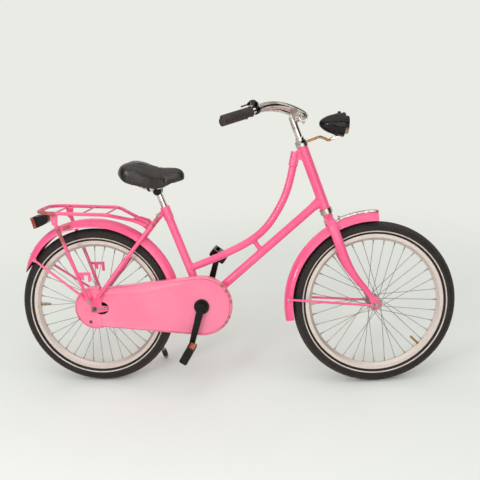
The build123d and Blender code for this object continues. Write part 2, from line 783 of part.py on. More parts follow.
def make_crank(side):
    """Crank arm with a boss round the spindle and an eye for the pedal."""
    along = down_right * -side
    near = side * crank_inner_y
    far = side * (crank_inner_y + crank_thickness)
    end = crank_ends[side]
    with BuildPart() as crank:
        cross_rod(crank_axis, 16, side * (crank_inner_y - 3), side * (crank_inner_y + crank_thickness + 2))
        cross_rod(end, 12, near, far)
        square = Vector(along.Z, 0, -along.X)
        hub_corner = crank_axis + along * 4
        outline = [hub_corner + square * 12.5, end + square * 9, end - square * 9, hub_corner - square * 12.5]
        cross_plate([(point.X, point.Z) for point in outline], max(near, far), min(near, far))
        cross_rod(crank_axis, 8.05, -120, 120, mode=Mode.SUBTRACT)
        cross_rod(end, 5.3, -120, 120, mode=Mode.SUBTRACT)
    return crank


crank_right = make_crank(-1)
crank_left = make_crank(1)

with BuildPart() as crank_spindle:
    cross_rod(crank_axis, 8, -77, 77)

with BuildPart() as chain_case_disc:
    cross_rod(crank_axis, 26, -58, -62.8)
    cross_rod(crank_axis, 20, -44, -58)
    cross_rod(crank_axis, 8.05, -30, -90, mode=Mode.SUBTRACT)

pedal_gap = 3
pedal_inner_y = crank_inner_y + crank_thickness + pedal_gap
pedal_width = 84
pedal_length = 58
pedal_height = 27
pedal_slope = {-1: 59, 1: -37}


def pedal_frame(side):
    """Plane across a pedal at its inner edge: X along its length, Z outward."""
    end = crank_ends[side]
    forward = unit(pedal_slope[side])
    return Plane(origin=(end.X, side * pedal_inner_y, end.Z), x_dir=forward, z_dir=(0, side, 0))


def make_pedal(side):
    """Pedal body with rounded ends, open between the two treads, on its own short axle."""
    plane = pedal_frame(side)
    with BuildPart() as pedal:
        with BuildSketch(plane):
            RectangleRounded(pedal_length, pedal_height, 5)
        extrude(amount=pedal_width)
        for along in (-14.5, 14.5):
            with BuildSketch(plane.offset(9)) as window:
                with Locations((along, 0)):
                    Rectangle(13, pedal_height + 4)
            extrude(window.sketch, amount=pedal_width - 18, mode=Mode.SUBTRACT)
        cross_rod(crank_ends[side], 5, side * (crank_inner_y + 1), side * (pedal_inner_y + 1))
    return pedal


def make_reflectors(side):
    """Two reflectors set in the front and rear faces of a pedal."""
    plane = pedal_frame(side)
    with BuildPart() as reflectors:
        for along in (-1, 1):
            with BuildSketch(plane.offset(14)) as face:
                with Locations((along * (pedal_length / 2 + 0.8), 0)):
                    Rectangle(1.5, 17)
            extrude(face.sketch, amount=pedal_width - 28)
    return reflectors


pedal_right = make_pedal(-1)
pedal_left = make_pedal(1)
pedal_right_reflectors = make_reflectors(-1)
pedal_left_reflectors = make_reflectors(1)

# ---------------------------------------------------------------- parked pose
def turned(axis_plane, angle):
    """Placement that turns a piece about the Z axis of a plane."""
    there = Location(axis_plane)
    return there * Location((0, 0, 0), (0, 0, 1), angle) * there.inverse()


def contact_height(axle_direction):
    """Height of a wheel's centre above the floor, from the direction of its axle."""
    round_radius = tyre_width / 2
    upright = sqrt(1 - axle_direction.Z ** 2)
    return (tyre_radius - round_radius) * upright + round_radius


steer = turned(steering, steered)
leaning = Location((0, 0, 0), (1, 0, 0), -lean)


def moved_point(place, point):
    """Where a placement takes a point."""
    return (place * Location(Vector(*point))).position


front_centre = moved_point(leaning * steer, front_axle)
front_axle_way = moved_point(leaning * steer, front_axle + Vector(0, 1, 0)) - front_centre
rear_axle_way = moved_point(leaning, (0, 1, 0))
rear_height = contact_height(rear_axle_way)
nose_up = rear_height - contact_height(front_axle_way) + front_centre.Z
pitch = degrees(asin(nose_up / front_centre.X))
standing = Location((0, 0, rear_height)) * Location((0, 0, 0), (0, 1, 0), pitch) * leaning

# ---------------------------------------------------------------- side stand
stand_pivot = Vector(165, 55, -34)
stand_foot_radius = 9


def point_over_floor(x, y, height):
    """Point of the upright bicycle that stands at a height over the floor once it is parked."""
    at_zero = moved_point(standing, (x, y, 0)).Z
    at_hundred = moved_point(standing, (x, y, 100)).Z
    return Vector(x, y, 100 * (height - at_zero) / (at_hundred - at_zero))


stand_foot = point_over_floor(196, 165, stand_foot_radius)
stand_length = (stand_foot - stand_pivot).length
stand_down = (stand_foot - stand_pivot).normalized()
stand_folded = Vector(-0.968, 0.0, -0.25).normalized()
change = (stand_down - stand_folded).normalized()
stand_axis = (Vector(0, 1, 0) - change * change.Y).normalized()

with BuildPart() as stand_bracket:
    clamp_centre = Vector(stand_pivot.X - 6, 47, 3)
    cross_plate([(clamp_centre.X - 22, 14), (clamp_centre.X + 22, 14), (clamp_centre.X + 22, -10),
                 (clamp_centre.X + 10, -24), (clamp_centre.X - 8, -24), (clamp_centre.X - 22, -10)], 58, 54)
    straight((stand_pivot.X, 52, -18), stand_pivot - stand_axis * 11, 7)
    straight(stand_pivot - stand_axis * 12.5, stand_pivot - stand_axis * 8.5, 11)
    straight(stand_pivot - stand_axis * 8.5, stand_pivot + stand_axis * 20, 16, mode=Mode.SUBTRACT)
    straight(stand_pivot - stand_axis * 9, stand_pivot + stand_axis * 9, 4)

with BuildPart() as stand_leg:
    straight(stand_pivot - stand_axis * 8, stand_pivot + stand_axis * 8, 9.5)
    straight(stand_pivot, stand_foot, 6)
    with Locations(stand_foot):
        Sphere(stand_foot_radius)
    straight(stand_foot - stand_down * 26, stand_foot, stand_foot_radius)
    straight(stand_pivot - stand_axis * 20, stand_pivot + stand_axis * 20, 4.3, mode=Mode.SUBTRACT)

# ---------------------------------------------------------------- coaster brake arm
with BuildPart() as brake_arm:
    cross_plate([(-10, -12), (-12, 4), (0, 13), (12, 6), (24, -9), (128, -12), (134, -18), (126, -26),
                 (40, -23)], 47, 43.5)
    cross_rod((0, 0, 0), 8.2, 30, 60, mode=Mode.SUBTRACT)

# ---------------------------------------------------------------- front mudguard trim
with BuildPart() as front_guard_trim:
    with BuildSketch(guard_section(front_axle, 88)):
        with BuildLine():
            ThreePointArc((guard_radius - 0.4, -8), (guard_radius + 5, 0), (guard_radius - 0.4, 8))
            ThreePointArc((guard_radius - 0.4, 8), (guard_radius + 0.6, 0), (guard_radius - 0.4, -8))
        make_face()
    revolve(axis=Axis(front_axle, (0, -1, 0)), revolution_arc=26)

# ---------------------------------------------------------------- writing the parked bicycle
steady = {
    "rear_tyre": rear_tyre, "rear_rim": rear_rim, "rear_hub": rear_hub, "rear_spokes": rear_spokes,
    "head_tube": head_tube, "down_tube": down_tube, "bottom_bracket_shell": bottom_bracket_shell,
    "seat_tube": seat_tube, "top_tube": top_tube, "tube_bridge": tube_bridge, "seat_lug": seat_lug,
    "seat_stays": seat_stays, "chain_stays": chain_stays, "rear_dropouts": rear_dropouts,
    "rear_axle": rear_axle, "rear_mudguard": rear_guard, "rear_mudguard_stays": rear_guard_stays,
    "chain_case": chain_case, "chain_case_cap": chain_case_cap,
    "headset_cups": headset_cups, "seat_post": seat_post,
    "saddle": saddle, "saddle_frame": saddle_frame, "rack_frame": rack_frame,
    "rack_legs": rack_legs, "pannier_hooks": pannier_hooks,
    "rack_front_plates": rack_front_plates, "rear_lamp_housing": rear_lamp_housing,
    "rear_lamp_lens": rear_lamp_lens, "stand_bracket": stand_bracket, "stand_leg": stand_leg,
    "brake_arm": brake_arm, "crank_spindle": crank_spindle, "crank_right": crank_right,
    "crank_left": crank_left, "chain_case_disc": chain_case_disc, "pedal_right": pedal_right,
    "pedal_left": pedal_left, "pedal_right_reflectors": pedal_right_reflectors,
    "pedal_left_reflectors": pedal_left_reflectors,
}
turning = {
    "front_tyre": front_tyre, "front_rim": front_rim, "front_hub": front_hub,
    "front_spokes": front_spokes, "front_axle": front_axle_rod, "fork_crown": fork_crown,
    "fork_blades": fork_blades, "headset_locknut": headset_locknut,
    "stem": stem, "handlebar": handlebar, "grips": grips, "bell": bell,
    "headlamp_bracket": headlamp_bracket, "headlamp_shell": headlamp_shell,
    "headlamp_lens": headlamp_lens, "front_mudguard": front_guard,
    "front_mudguard_stays": front_guard_stays, "front_mudguard_trim": front_guard_trim,
}
placed = [piece.part.moved(standing) for piece in steady.values()]
placed += [piece.part.moved(standing * steer) for piece in turning.values()]
whole = Compound(children=placed).bounding_box()
parked = Location((-whole.center().X, -whole.center().Y, 0)) * standing
parked_steered = parked * steer

for pieces, place in ((steady, parked), (turning, parked_steered)):
    for label, piece in pieces.items():
        piece.part.label = label
        export_step(piece.part.moved(place), f"parts/{label}.step")
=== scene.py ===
"""Child's step-through bicycle: finishes, detailed pieces, studio and camera around the fixed CAD frame.

Sizes are in millimetres in two frames of reference, and turned into metres when a piece is made.
BIKE is the upright bicycle: origin at the rear axle, X forward, Y to the rider's left, Z up.
FORK is the same drawing turned with the steering, so a point of the fork has its upright place.
"""
import json
from math import asin, atan2, cos, pi, radians, sin, tan

import bmesh
import bpy
import numpy as np
from mathutils import Matrix, Vector


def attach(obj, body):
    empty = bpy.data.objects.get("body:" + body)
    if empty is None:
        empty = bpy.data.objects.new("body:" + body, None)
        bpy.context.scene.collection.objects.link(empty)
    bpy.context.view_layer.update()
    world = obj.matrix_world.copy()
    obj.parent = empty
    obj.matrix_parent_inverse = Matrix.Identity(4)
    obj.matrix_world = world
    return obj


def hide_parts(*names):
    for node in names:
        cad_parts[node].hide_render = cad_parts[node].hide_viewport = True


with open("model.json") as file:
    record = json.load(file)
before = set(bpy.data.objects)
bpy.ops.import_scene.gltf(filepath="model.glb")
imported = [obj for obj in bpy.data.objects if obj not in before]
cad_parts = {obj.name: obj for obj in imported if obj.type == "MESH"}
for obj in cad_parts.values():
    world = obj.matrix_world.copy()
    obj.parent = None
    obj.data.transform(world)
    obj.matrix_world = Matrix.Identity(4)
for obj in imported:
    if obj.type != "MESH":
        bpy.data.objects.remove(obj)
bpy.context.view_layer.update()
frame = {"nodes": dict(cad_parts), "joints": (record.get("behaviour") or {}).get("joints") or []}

# ---- sizes of the bicycle
WHEELBASE = 955.0
HEAD_ANGLE = 70.8
FORK_OFFSET = 45.0
CRANK_X, CRANK_Z = 375.4, 4.5
CRANK = np.array([CRANK_X, 0.0, CRANK_Z])
CRANK_LENGTH = 152.0
CRANK_TURN = 16.5
SEAT_ANGLE = 70.3
TYRE_RADIUS = 273.0
TYRE_ROUND = 23.0
TYRE_WRAP = 148
TYRE_BLOCKS = 110
RIM_INNER = 211.0
SPOKES = 36
HUB_FLANGE = 19.0
REAR_AXLE = (0.0, 0.0, 0.0)
FRONT_AXLE = (WHEELBASE, 0.0, 0.0)
REAR_GUARD, REAR_GUARD_TAIL, FRONT_GUARD = 301.5, 221.5, 303.0
CASE_FRONT, CASE_REAR, CASE_FACE = 104.0, 75.0, -57.0
RACK_BARS = (-105, -12, 70)
RACK_REAR_X, RACK_REAR_Z, RACK_FALL = -171, 344, 13 / 244


def unit(vector):
    """Vectors scaled to length one along the last axis."""
    vector = np.asarray(vector, float)
    return vector / np.linalg.norm(vector, axis=-1, keepdims=True)


def side_way(angle):
    """Direction in the bicycle's side plane, in degrees up from straight ahead."""
    return np.array([cos(radians(angle)), 0.0, sin(radians(angle))])


class Placement:
    """Frame of reference: where it lies in the world, with its sizes in millimetres."""

    def __init__(self, origin, forward, left, up):
        self.origin = np.asarray(origin, float)
        self.axes = np.stack([unit(forward), unit(left), unit(up)])

    def at(self, points):
        """World place, in metres, of points given in millimetres."""
        return self.origin + np.asarray(points, float) @ self.axes * 0.001

    def way(self, direction):
        """World direction of a direction."""
        return np.asarray(direction, float) @ self.axes

    def inner(self, origin, forward, left):
        """A frame of reference inside this one."""
        forward, left = unit(forward), unit(left)
        up = np.cross(forward, left)
        return Placement(self.at(origin), self.way(forward), self.way(left), self.way(up))


def joint(name):
    """Place and direction of a joint's axis."""
    found = next(j for j in frame["joints"] if j["name"] == name)
    return np.array(found["pos_m"]), unit(found["axis"])


def bike_frame():
    """Upright frame from the rear axle, its direction, and the crank axis in the middle plane."""
    axle, left = joint("rear_wheel_spin")
    crank, _ = joint("crank_spin")
    ahead = unit(crank - axle)
    over = np.cross(ahead, left)
    rise = atan2(CRANK_Z, CRANK_X)
    forward = cos(rise) * ahead - sin(rise) * over
    return Placement(axle, forward, left, np.cross(forward, left))


def fork_frame():
    """The same frame turned with the fork, from the steering axis and the front axle."""
    axle, left = joint("front_wheel_spin")
    _, steering = joint("steering")
    lean = radians(HEAD_ANGLE)
    across = np.cross(left, steering)
    forward = sin(lean) * across - cos(lean) * steering
    origin = axle - forward * WHEELBASE * 0.001
    return Placement(origin, forward, left, np.cross(forward, left))


BIKE = bike_frame()
FORK = fork_frame()


def on_steering(along, ahead=0.0, side=0.0):
    """A point by its height along the steering axis, its distance ahead of it and its side."""
    lean = radians(HEAD_ANGLE)
    foot = WHEELBASE - FORK_OFFSET / sin(lean)
    forward = foot - along * cos(lean) + ahead * sin(lean)
    return np.array([forward, side, along * sin(lean) + ahead * cos(lean)])


def on_seat_tube(height):
    """A point of the seat tube's centre line at a height above the axles."""
    return np.array([CRANK_X - (height - CRANK_Z) / tan(radians(SEAT_ANGLE)), 0, height])


STEERING_WAY = unit(on_steering(100) - on_steering(0))
SEAT_WAY = unit(on_seat_tube(200) - on_seat_tube(100))


# ---- finishes
def linear(value):
    """A socket's value: a colour of six hexadecimal digits as linear RGBA, anything else as it is."""
    if not isinstance(value, str):
        return value
    parts = [int(value[i:i + 2], 16) / 255 for i in (0, 2, 4)]
    return tuple(p / 12.92 if p <= 0.04045 else ((p + 0.055) / 1.055) ** 2.4 for p in parts) + (1.0,)


def maths(operation, swapped=False):
    """A method of Value: one maths node fed by the value and another, or by the two swapped."""
    def method(*values):
        fed = values[::-1] if swapped else values
        return values[0].nodes.node("ShaderNodeMath", {"operation": operation}, dict(enumerate(fed)))
    return method


class Value:
    """One value among shader nodes, so that shader maths is written as a Python expression."""

    __add__ = __radd__ = maths("ADD")
    __sub__ = maths("SUBTRACT")
    __rsub__ = maths("SUBTRACT", swapped=True)
    __mul__ = __rmul__ = maths("MULTIPLY")
    __gt__ = maths("GREATER_THAN")
    __lt__ = maths("LESS_THAN")
    __abs__ = maths("ABSOLUTE")
    larger = maths("MAXIMUM")

    def __init__(self, nodes, socket):
        self.nodes, self.socket = nodes, socket

    def between(self, low, high):
        """0 below low, 1 above high and a smooth rise between them."""
        return self.nodes.node(
            "ShaderNodeMapRange", {"interpolation_type": "SMOOTHSTEP"},
            {"Value": self, "From Min": low, "From Max": high})

    def output(self, name):
        """Another output of the same node."""
        return Value(self.nodes, self.socket.node.outputs[name])


class Nodes:
    """Shader nodes of one tree."""

    def __init__(self, tree):
        self.tree = tree

    def node(self, kind, settings=None, inputs=None, output=0):
        """Any node: its type, its settings, then the values or links of its sockets."""
        made = self.tree.nodes.new(kind)
        for key, value in (settings or {}).items():
            if key == "stops":
                for _ in value[2:]:
                    made.color_ramp.elements.new(0.5)
                for stop, (position, shade) in zip(made.color_ramp.elements, value):
                    stop.position, stop.color = position, shade
            else:
                setattr(made, key, value)
        for key, value in (inputs or {}).items():
            if isinstance(value, Value):
                self.tree.links.new(value.socket, made.inputs[key])
            else:
                made.inputs[key].default_value = linear(value)
        return Value(self, made.outputs[output] if made.outputs else None)

    def mix(self, factor, first, second):
        """Colour that goes from the first to the second."""
        return self.node("ShaderNodeMix", {"data_type": "RGBA"}, {0: factor, 6: first, 7: second}, output=2)


class Finish(Nodes):
    """A material built round one Principled shader. Constants go on the shader's own sockets."""

    def __init__(self, name, **constants):
        self.material = bpy.data.materials.new(name + "_finish")
        self.material.use_nodes = True
        super().__init__(self.material.node_tree)
        self.shader = self.tree.nodes["Principled BSDF"]
        self.coordinates = self.node("ShaderNodeTexCoord", output="Object")
        for socket, value in constants.items():
            self.shader.inputs[socket.replace("_", " ")].default_value = linear(value)

    def noise(self, scale, detail=3.0, roughness=0.5, stretch=None):
        """Soft noise from 0 to 1, stretched by a scale on each axis where one is given."""
        place = self.coordinates
        if stretch:
            place = self.node("ShaderNodeMapping", inputs={"Vector": place, "Scale": stretch})
        return self.node("ShaderNodeTexNoise", {"noise_dimensions": "3D"},
                         {"Vector": place, "Scale": scale, "Detail": detail, "Roughness": roughness})

    def cells(self, scale, feature="F1"):
        """Distance to the nearest point, or edge, of a cell pattern."""
        return self.node("ShaderNodeTexVoronoi", {"feature": feature},
                         {"Vector": self.coordinates, "Scale": scale})

    def attribute(self, name):
        """A number stored on the piece's own mesh."""
        return self.node("ShaderNodeAttribute", {"attribute_name": name}, output="Fac")

    def vectors(self, operation, first, second, output="Value"):
        """A vector maths node between two vectors."""
        return self.node("ShaderNodeVectorMath", {"operation": operation}, {0: first, 1: second}, output)

    def distance(self, world_point):
        """Distance in metres from a world point at rest."""
        return self.vectors("DISTANCE", self.coordinates, tuple(world_point))

    def places(self, points, reach):
        """1 at the nearest of some world points at rest, falling to 0 at a reach in millimetres."""
        nearest = 0.0
        for point in points:
            spot = 1 - self.distance(point).between(reach * 0.0003, reach * 0.001)
            nearest = spot.larger(nearest)
        return nearest

    def bump(self, height, strength=0.3, distance=0.001):
        """Normal from a height, for the shader's Normal socket."""
        return self.node("ShaderNodeBump", None,
                         {"Strength": strength, "Distance": distance, "Height": height})

    def feed(self, **varying):
        """Links what varies over the surface to the shader."""
        for socket, value in varying.items():
            self.tree.links.new(value.socket, self.shader.inputs[socket.replace("_", " ")])
        return self.material


PINK_SHADES = "f8568a", "fd6896"
CASE_SHADES = "fb7c9e", "ff88a8"
# Darker pink for the case's welt: painted shade along its pressed crease.
EDGE_SHADES = "d8506f", "ea6c8b"


def enamel(name, shades=PINK_SHADES, chips=0.02, worn_and_shadowed=(), reach=20.0, axle=None, hollow=None):
    """Gloss paint: a slow change of shade, dust, fine scratches, chips to rust, and rubbed places; on the
    rear mudguard the rubbed places are a painted shadow.
    A mudguard gives its axle, and its inner side, whose faces look towards the axle, is darkened: painted
    shade, with road dirt in it.
    A case gives a point and a way, and has painted shade where it faces that way from behind the point."""
    paint = Finish(name, Specular_IOR_Level=0.4, Coat_Roughness=0.08, Coat_IOR=1.45)
    slow = paint.noise(7.0, 4.0)
    shade = paint.mix(slow.between(0.35, 0.68), *shades)
    dust = paint.noise(42.0, 6.0, 0.65).between(0.58, 0.85) * 0.10
    shade = paint.mix(dust, shade, "d98f98")
    scratch = paint.noise(60.0, 5.0, 0.7, stretch=(0.6, 5.0, 5.0)).between(0.69, 0.72)
    shade = paint.mix(scratch * 0.3, shade, "ffb4c6")
    patch = paint.noise(26.0, 3.0, 0.6).between(0.62, 0.70)
    grit = paint.noise(240.0, 4.0, 0.6)
    wear_and_painted_shade = grit.between(0.70 - chips, 0.72 - chips) * patch
    # Places rubbed to rust; on the rear mudguard they are a painted shadow.
    if worn_and_shadowed:
        rubbed = paint.places([BIKE.at(point) for point in worn_and_shadowed], reach)
        wear_and_painted_shade = wear_and_painted_shade.larger(rubbed * grit.between(0.28, 0.48))
    rust = paint.mix(paint.noise(420.0, 2.0).between(0.4, 0.6), "6a3a2a", "a5714c")
    shade = paint.mix(wear_and_painted_shade * 0.85, shade, rust)
    # Painted shade: a mudguard's inner side, with road dirt in it, and the inside of the case behind its
    # mouth are darkened to a near-black pink and lose gloss.
    if axle is not None or hollow is not None:
        start = axle if hollow is None else hollow[0]
        outward = paint.vectors("SUBTRACT", paint.coordinates, tuple(start), output="Vector")
        facing = paint.node("ShaderNodeTexCoord", output="Normal")
        if hollow is None:
            grime_and_painted_shade = 1 - paint.vectors("DOT_PRODUCT", outward, facing).between(-0.12, -0.03)
        else:
            way = tuple(hollow[1])
            behind = paint.vectors("DOT_PRODUCT", outward, way) < 0.0
            grime_and_painted_shade = behind * (paint.vectors("DOT_PRODUCT", facing, way) > 0.5)
        shade = paint.mix(grime_and_painted_shade, shade, paint.mix(grit, "1c0e10", "4a2630"))
        wear_and_painted_shade = wear_and_painted_shade.larger(grime_and_painted_shade * 0.7)
    ripple = paint.noise(170.0, 2.0) * 0.25 - wear_and_painted_shade * 0.8
    return paint.feed(Base_Color=shade, Roughness=0.26 + slow * 0.1 + wear_and_painted_shade * 0.4 + dust,
                      Coat_Weight=0.55 - wear_and_painted_shade * 0.5 - dust, Normal=paint.bump(ripple, 0.12, 0.0006))


def metal(name, dark, light, rough, pits, rust=0.0, stretch=(9.0, 9.0, 9.0), bare=1.0):
    """Bare or plated metal: fine drawn lines, small pits and rust spots."""
    made = Finish(name)
    lines = made.noise(130.0, 4.0, 0.6, stretch=stretch)
    pit = made.noise(380.0, 3.0, 0.6).between(0.74 - pits, 0.78 - pits)
    stain = made.noise(21.0, 4.0, 0.6).between(0.66 - rust, 0.74 - rust)
    stain = stain * made.noise(160.0, 4.0, 0.7).between(0.42, 0.6)
    shade = made.mix(lines.between(0.35, 0.65), dark, light)
    shade = made.mix(pit * 0.6, shade, "5b4a40")
    shade = made.mix(stain * 0.85, shade, "7c4a2e")
    return made.feed(Base_Color=shade, Metallic=bare - stain * 0.75 - pit * 0.3,
                     Roughness=rough + lines * 0.1 + pit * 0.3 + stain * 0.45,
                     Normal=made.bump(lines * 0.3 - pit * 0.6 + stain * 0.3, 0.12, 0.0004))


def plastic(name, dark, light, rough, grain=700.0, depth=0.15, gloss=0.25):
    """Moulded plastic or rubber: fine grain and a dusty bloom."""
    made = Finish(name, Specular_IOR_Level=gloss)
    bloom = made.noise(18.0, 5.0, 0.6).between(0.42, 0.75)
    fine = made.noise(grain, 2.0)
    return made.feed(Base_Color=made.mix(bloom, dark, light), Roughness=rough + bloom * 0.08 + fine * 0.03,
                     Normal=made.bump(fine, depth, 0.0003))


def tyre_rubber():
    """Tyre: dusty black rubber, a reflecting stripe on each wall and grey wear on the tread."""
    made = Finish("tyre_rubber", Specular_IOR_Level=0.35)
    across = abs(made.attribute("across"))
    dust = made.noise(30.0, 6.0, 0.65).between(0.4, 0.75)
    shade = made.mix(dust * 0.5, "1e1716", "3e3431")
    tread = 1 - across.between(0.28, 0.40)
    shade = made.mix(tread * 0.4, shade, "463c39")
    stripe = (across > 0.600) * (across < 0.658)
    shade = made.mix(stripe * (0.95 - dust * 0.3), shade, "dccfc5")
    return made.feed(Base_Color=shade, Roughness=0.62 - stripe * 0.2 + dust * 0.15,
                     Normal=made.bump(made.noise(900.0, 2.0), 0.2, 0.0004))


def saddle_vinyl():
    """Saddle cover: black vinyl with a fine leather grain and creases, and paler, slightly rougher rubbed
    patches at random.
    """
    made = Finish("saddle_vinyl", Specular_IOR_Level=0.5)
    grain = made.cells(520.0, "DISTANCE_TO_EDGE")
    creases = made.cells(190.0, "DISTANCE_TO_EDGE")
    rubbed = made.noise(14.0, 4.0, 0.6).between(0.4, 0.7)
    shade = made.mix(rubbed, "201716", "302624")
    dust = made.noise(60.0, 6.0, 0.7).between(0.55, 0.8)
    shade = made.mix(dust * 0.3, shade, "4a403d")
    height = grain.between(0.0, 0.25) * 0.6 + creases.between(0.0, 0.12) * 0.4
    return made.feed(Base_Color=shade, Roughness=0.20 + rubbed * 0.06 + dust * 0.15,
                     Normal=made.bump(height, 0.25, 0.0005))


def plated_ring():
    """Headlamp ring: plate coloured near-black as a painted dark reflection, and copper along its lower side
    as a painted reflection.
    """
    made = Finish("headlamp_ring", Metallic=0.9)
    streaks = made.noise(160.0, 4.0, 0.6)
    # Painted reflection: the near-black plate stands in for the dark reflection on the ring.
    shade = made.mix(streaks.between(0.35, 0.7), "0f0c0d", "3a3230")
    # Painted reflection: copper along the ring's lower side.
    low = made.places([FORK.at((871, side, 563)) for side in (-16, 0, 16)], 27.0)
    shade = made.mix(low, shade, made.mix(streaks, "8f6e5c", "d3b4a4"))
    return made.feed(Base_Color=shade, Roughness=0.2 + streaks * 0.15, Normal=made.bump(streaks, 0.1, 0.0003))


def lens(name, dark, light, rough, pitch):
    """Moulded lens: small prisms and a little grime."""
    made = Finish(name, Specular_IOR_Level=0.6, Coat_Weight=0.6, Coat_Roughness=0.08)
    prism = made.cells(pitch)
    shade = made.mix(prism.between(0.1, 0.55), light, dark)
    grime_and_painted_shade = made.noise(90.0, 5.0, 0.6).between(0.55, 0.75)
    shade = made.mix(grime_and_painted_shade * 0.4, shade, "4b2e22")
    return made.feed(Base_Color=shade, Roughness=rough + grime_and_painted_shade * 0.3,
                     Normal=made.bump(prism, 0.5, 0.0008))


RAIL_WEAR = [(-165, -88, 345), (-150, -95, 343), (-130, -96, 342), (-110, -96, 341)]
LEG_WEAR = [(-96, -91, 280), (-90, -90, 262), (-85, -90, 247)]
STAY_WEAR = [(232, -33, 300), (222, -36, 286), (236, -28, 308)]
# Dark marks on the rear mudguard's top below the rack leg: a painted shadow, drawn as patches rubbed to rust.
GUARD_PAINTED_SHADOW = [(-93, -25, 280), (-84, -25, 283)]
CASE_SCUFFS = [(x, -55, z) for x, z in (
    (450, -70), (462, -54), (472, -36), (480, 20), (474, 42), (464, 58), (449, 77), (-62, -36))]
CASE_WEAR = [(x, -56, z) for x, z in (
    (461, -52), (470, -36), (448, -68), (478, 8), (432, 90), (400, 105), (390, -98), (330, -88), (280, -84),
    (-58, -20), (-48, 44))]
# Painted shade inside the chain case's mouth: faces behind this plane that look outwards are darkened.
CASE_HOLLOW = BIKE.at((0, -52, 0)), BIKE.way((0, -1, 0))

PINK = enamel("pink_paint")
RACK_PINK = enamel("rack_paint", worn_and_shadowed=RAIL_WEAR + LEG_WEAR)
STAY_PINK = enamel("stay_paint", worn_and_shadowed=STAY_WEAR, reach=14.0)
# The mudguards' inner sides are darkened: painted shade, with road dirt in it.
REAR_GUARD_PINK = enamel("rear_mudguard", worn_and_shadowed=GUARD_PAINTED_SHADOW, reach=14.0, axle=BIKE.at(REAR_AXLE))
FRONT_GUARD_PINK = enamel("front_mudguard", axle=FORK.at(FRONT_AXLE))
CASE_PINK = enamel("chain_case_paint", CASE_SHADES, 0.015, CASE_SCUFFS, 12.0, hollow=CASE_HOLLOW)
# The welt: a darker pink as painted shade along its pressed crease, with scuffs and rubbed places that are
# real wear.
CASE_EDGE = enamel("chain_case_edge", EDGE_SHADES, 0.05, CASE_WEAR, 34.0)
ALUMINIUM = metal("bright_aluminium", "c9bbb3", "e2d6cf", 0.34, 0.01, stretch=(3.0, 30.0, 3.0), bare=0.6)
SPOKE_STEEL = metal("spoke_steel", "857b76", "aaa19c", 0.32, 0.05, 0.03, (8.0, 8.0, 8.0))
RUBBER = tyre_rubber()
CHROME = metal("chrome_plate", "a79b94", "e6dfda", 0.07, 0.03, 0.06, (0.25, 0.25, 0.25))
CUP_STEEL = metal("headset_steel", "a89c93", "d8d0c8", 0.16, 0.1, 0.16)
ZINC = metal("zinc_steel", "8f8a84", "bdb8b0", 0.34, 0.1, 0.08)
RUSTY = metal("rusty_steel", "6e5a4c", "9a8676", 0.5, 0.2, 0.3)
COPPER = metal("copper_brown", "8f5f3c", "d09a68", 0.3, 0.1, 0.12)
BEZEL = plated_ring()
BRASS = metal("brass", "8a6a3c", "c4a070", 0.36, 0.1, 0.1)
BLACK_ALLOY = plastic("black_alloy", "0c0808", "1f1715", 0.2)
BLACK_PLASTIC = plastic("black_plastic", "0a0707", "181111", 0.13, gloss=0.3)
GRIP_RUBBER = plastic("grip_rubber", "2c2322", "403532", 0.6, 500.0, 0.3, gloss=0.45)
VINYL = saddle_vinyl()
RED = lens("red_lens", "8c1210", "d82a1c", 0.12, 260.0)
CLEAR = lens("clear_lens", "8d8a86", "dcd8d2", 0.08, 160.0)
AMBER = lens("amber_reflector", "b85a10", "f29422", 0.14, 300.0)

FINISHES = (
    (PINK, "head_tube down_tube bottom_bracket_shell seat_tube top_tube tube_bridge seat_lug chain_stays"),
    (PINK, "rear_dropouts rear_mudguard_stays fork_crown fork_blades front_mudguard_stays"),
    (RACK_PINK, "rack_frame rack_legs pannier_hooks rack_front_plates"),
    (STAY_PINK, "seat_stays"),
    (REAR_GUARD_PINK, "rear_mudguard"),
    (FRONT_GUARD_PINK, "front_mudguard"),
    (CASE_PINK, "chain_case chain_case_cap"),
    (ALUMINIUM, "rear_rim front_rim"),
    (SPOKE_STEEL, "rear_spokes front_spokes"),
    (RUBBER, "rear_tyre front_tyre"),
    (CHROME, "seat_post headset_locknut stem handlebar front_mudguard_trim"),
    (CUP_STEEL, "headset_cups"),
    (ZINC, "rear_axle front_axle rear_hub front_hub crank_spindle stand_bracket stand_leg brake_arm"),
    (COPPER, "headlamp_bracket"),
    (BLACK_ALLOY, "saddle_frame crank_right crank_left"),
    (BLACK_PLASTIC, "rear_lamp_housing bell headlamp_shell chain_case_disc pedal_right pedal_left"),
    (GRIP_RUBBER, "grips"),
    (VINYL, "saddle"),
    (RED, "rear_lamp_lens"),
    (CLEAR, "headlamp_lens"),
    (AMBER, "pedal_right_reflectors pedal_left_reflectors"),
)
for node_finish, node_names in FINISHES:
    for node_name in node_names.split():
        node_object = frame["nodes"][node_name]
        node_object.data.materials.clear()
        node_object.data.materials.append(node_finish)


# ---- surfaces
def full_turn(count):
    """Angles spread evenly round a full turn."""
    return np.linspace(0, 2 * pi, count, endpoint=False)


def smooth_path(points, count):
    """Points of a smooth curve through some points, by cubic pieces with matching directions."""
    points = np.asarray(points, float)
    padded = np.concatenate([2 * points[:1] - points[1:2], points, 2 * points[-1:] - points[-2:-1]])
    spans = len(padded) - 3
    place = np.linspace(0, spans, count)
    number = np.minimum(place.astype(int), spans - 1)
    t = (place - number)[:, None]
    a, b, c, d = (padded[number + step] for step in range(4))
    terms = 2 * b, (c - a) * t, (2 * a - 5 * b + 4 * c - d) * t ** 2, (3 * b - a - 3 * c + d) * t ** 3
    return 0.5 * sum(terms)


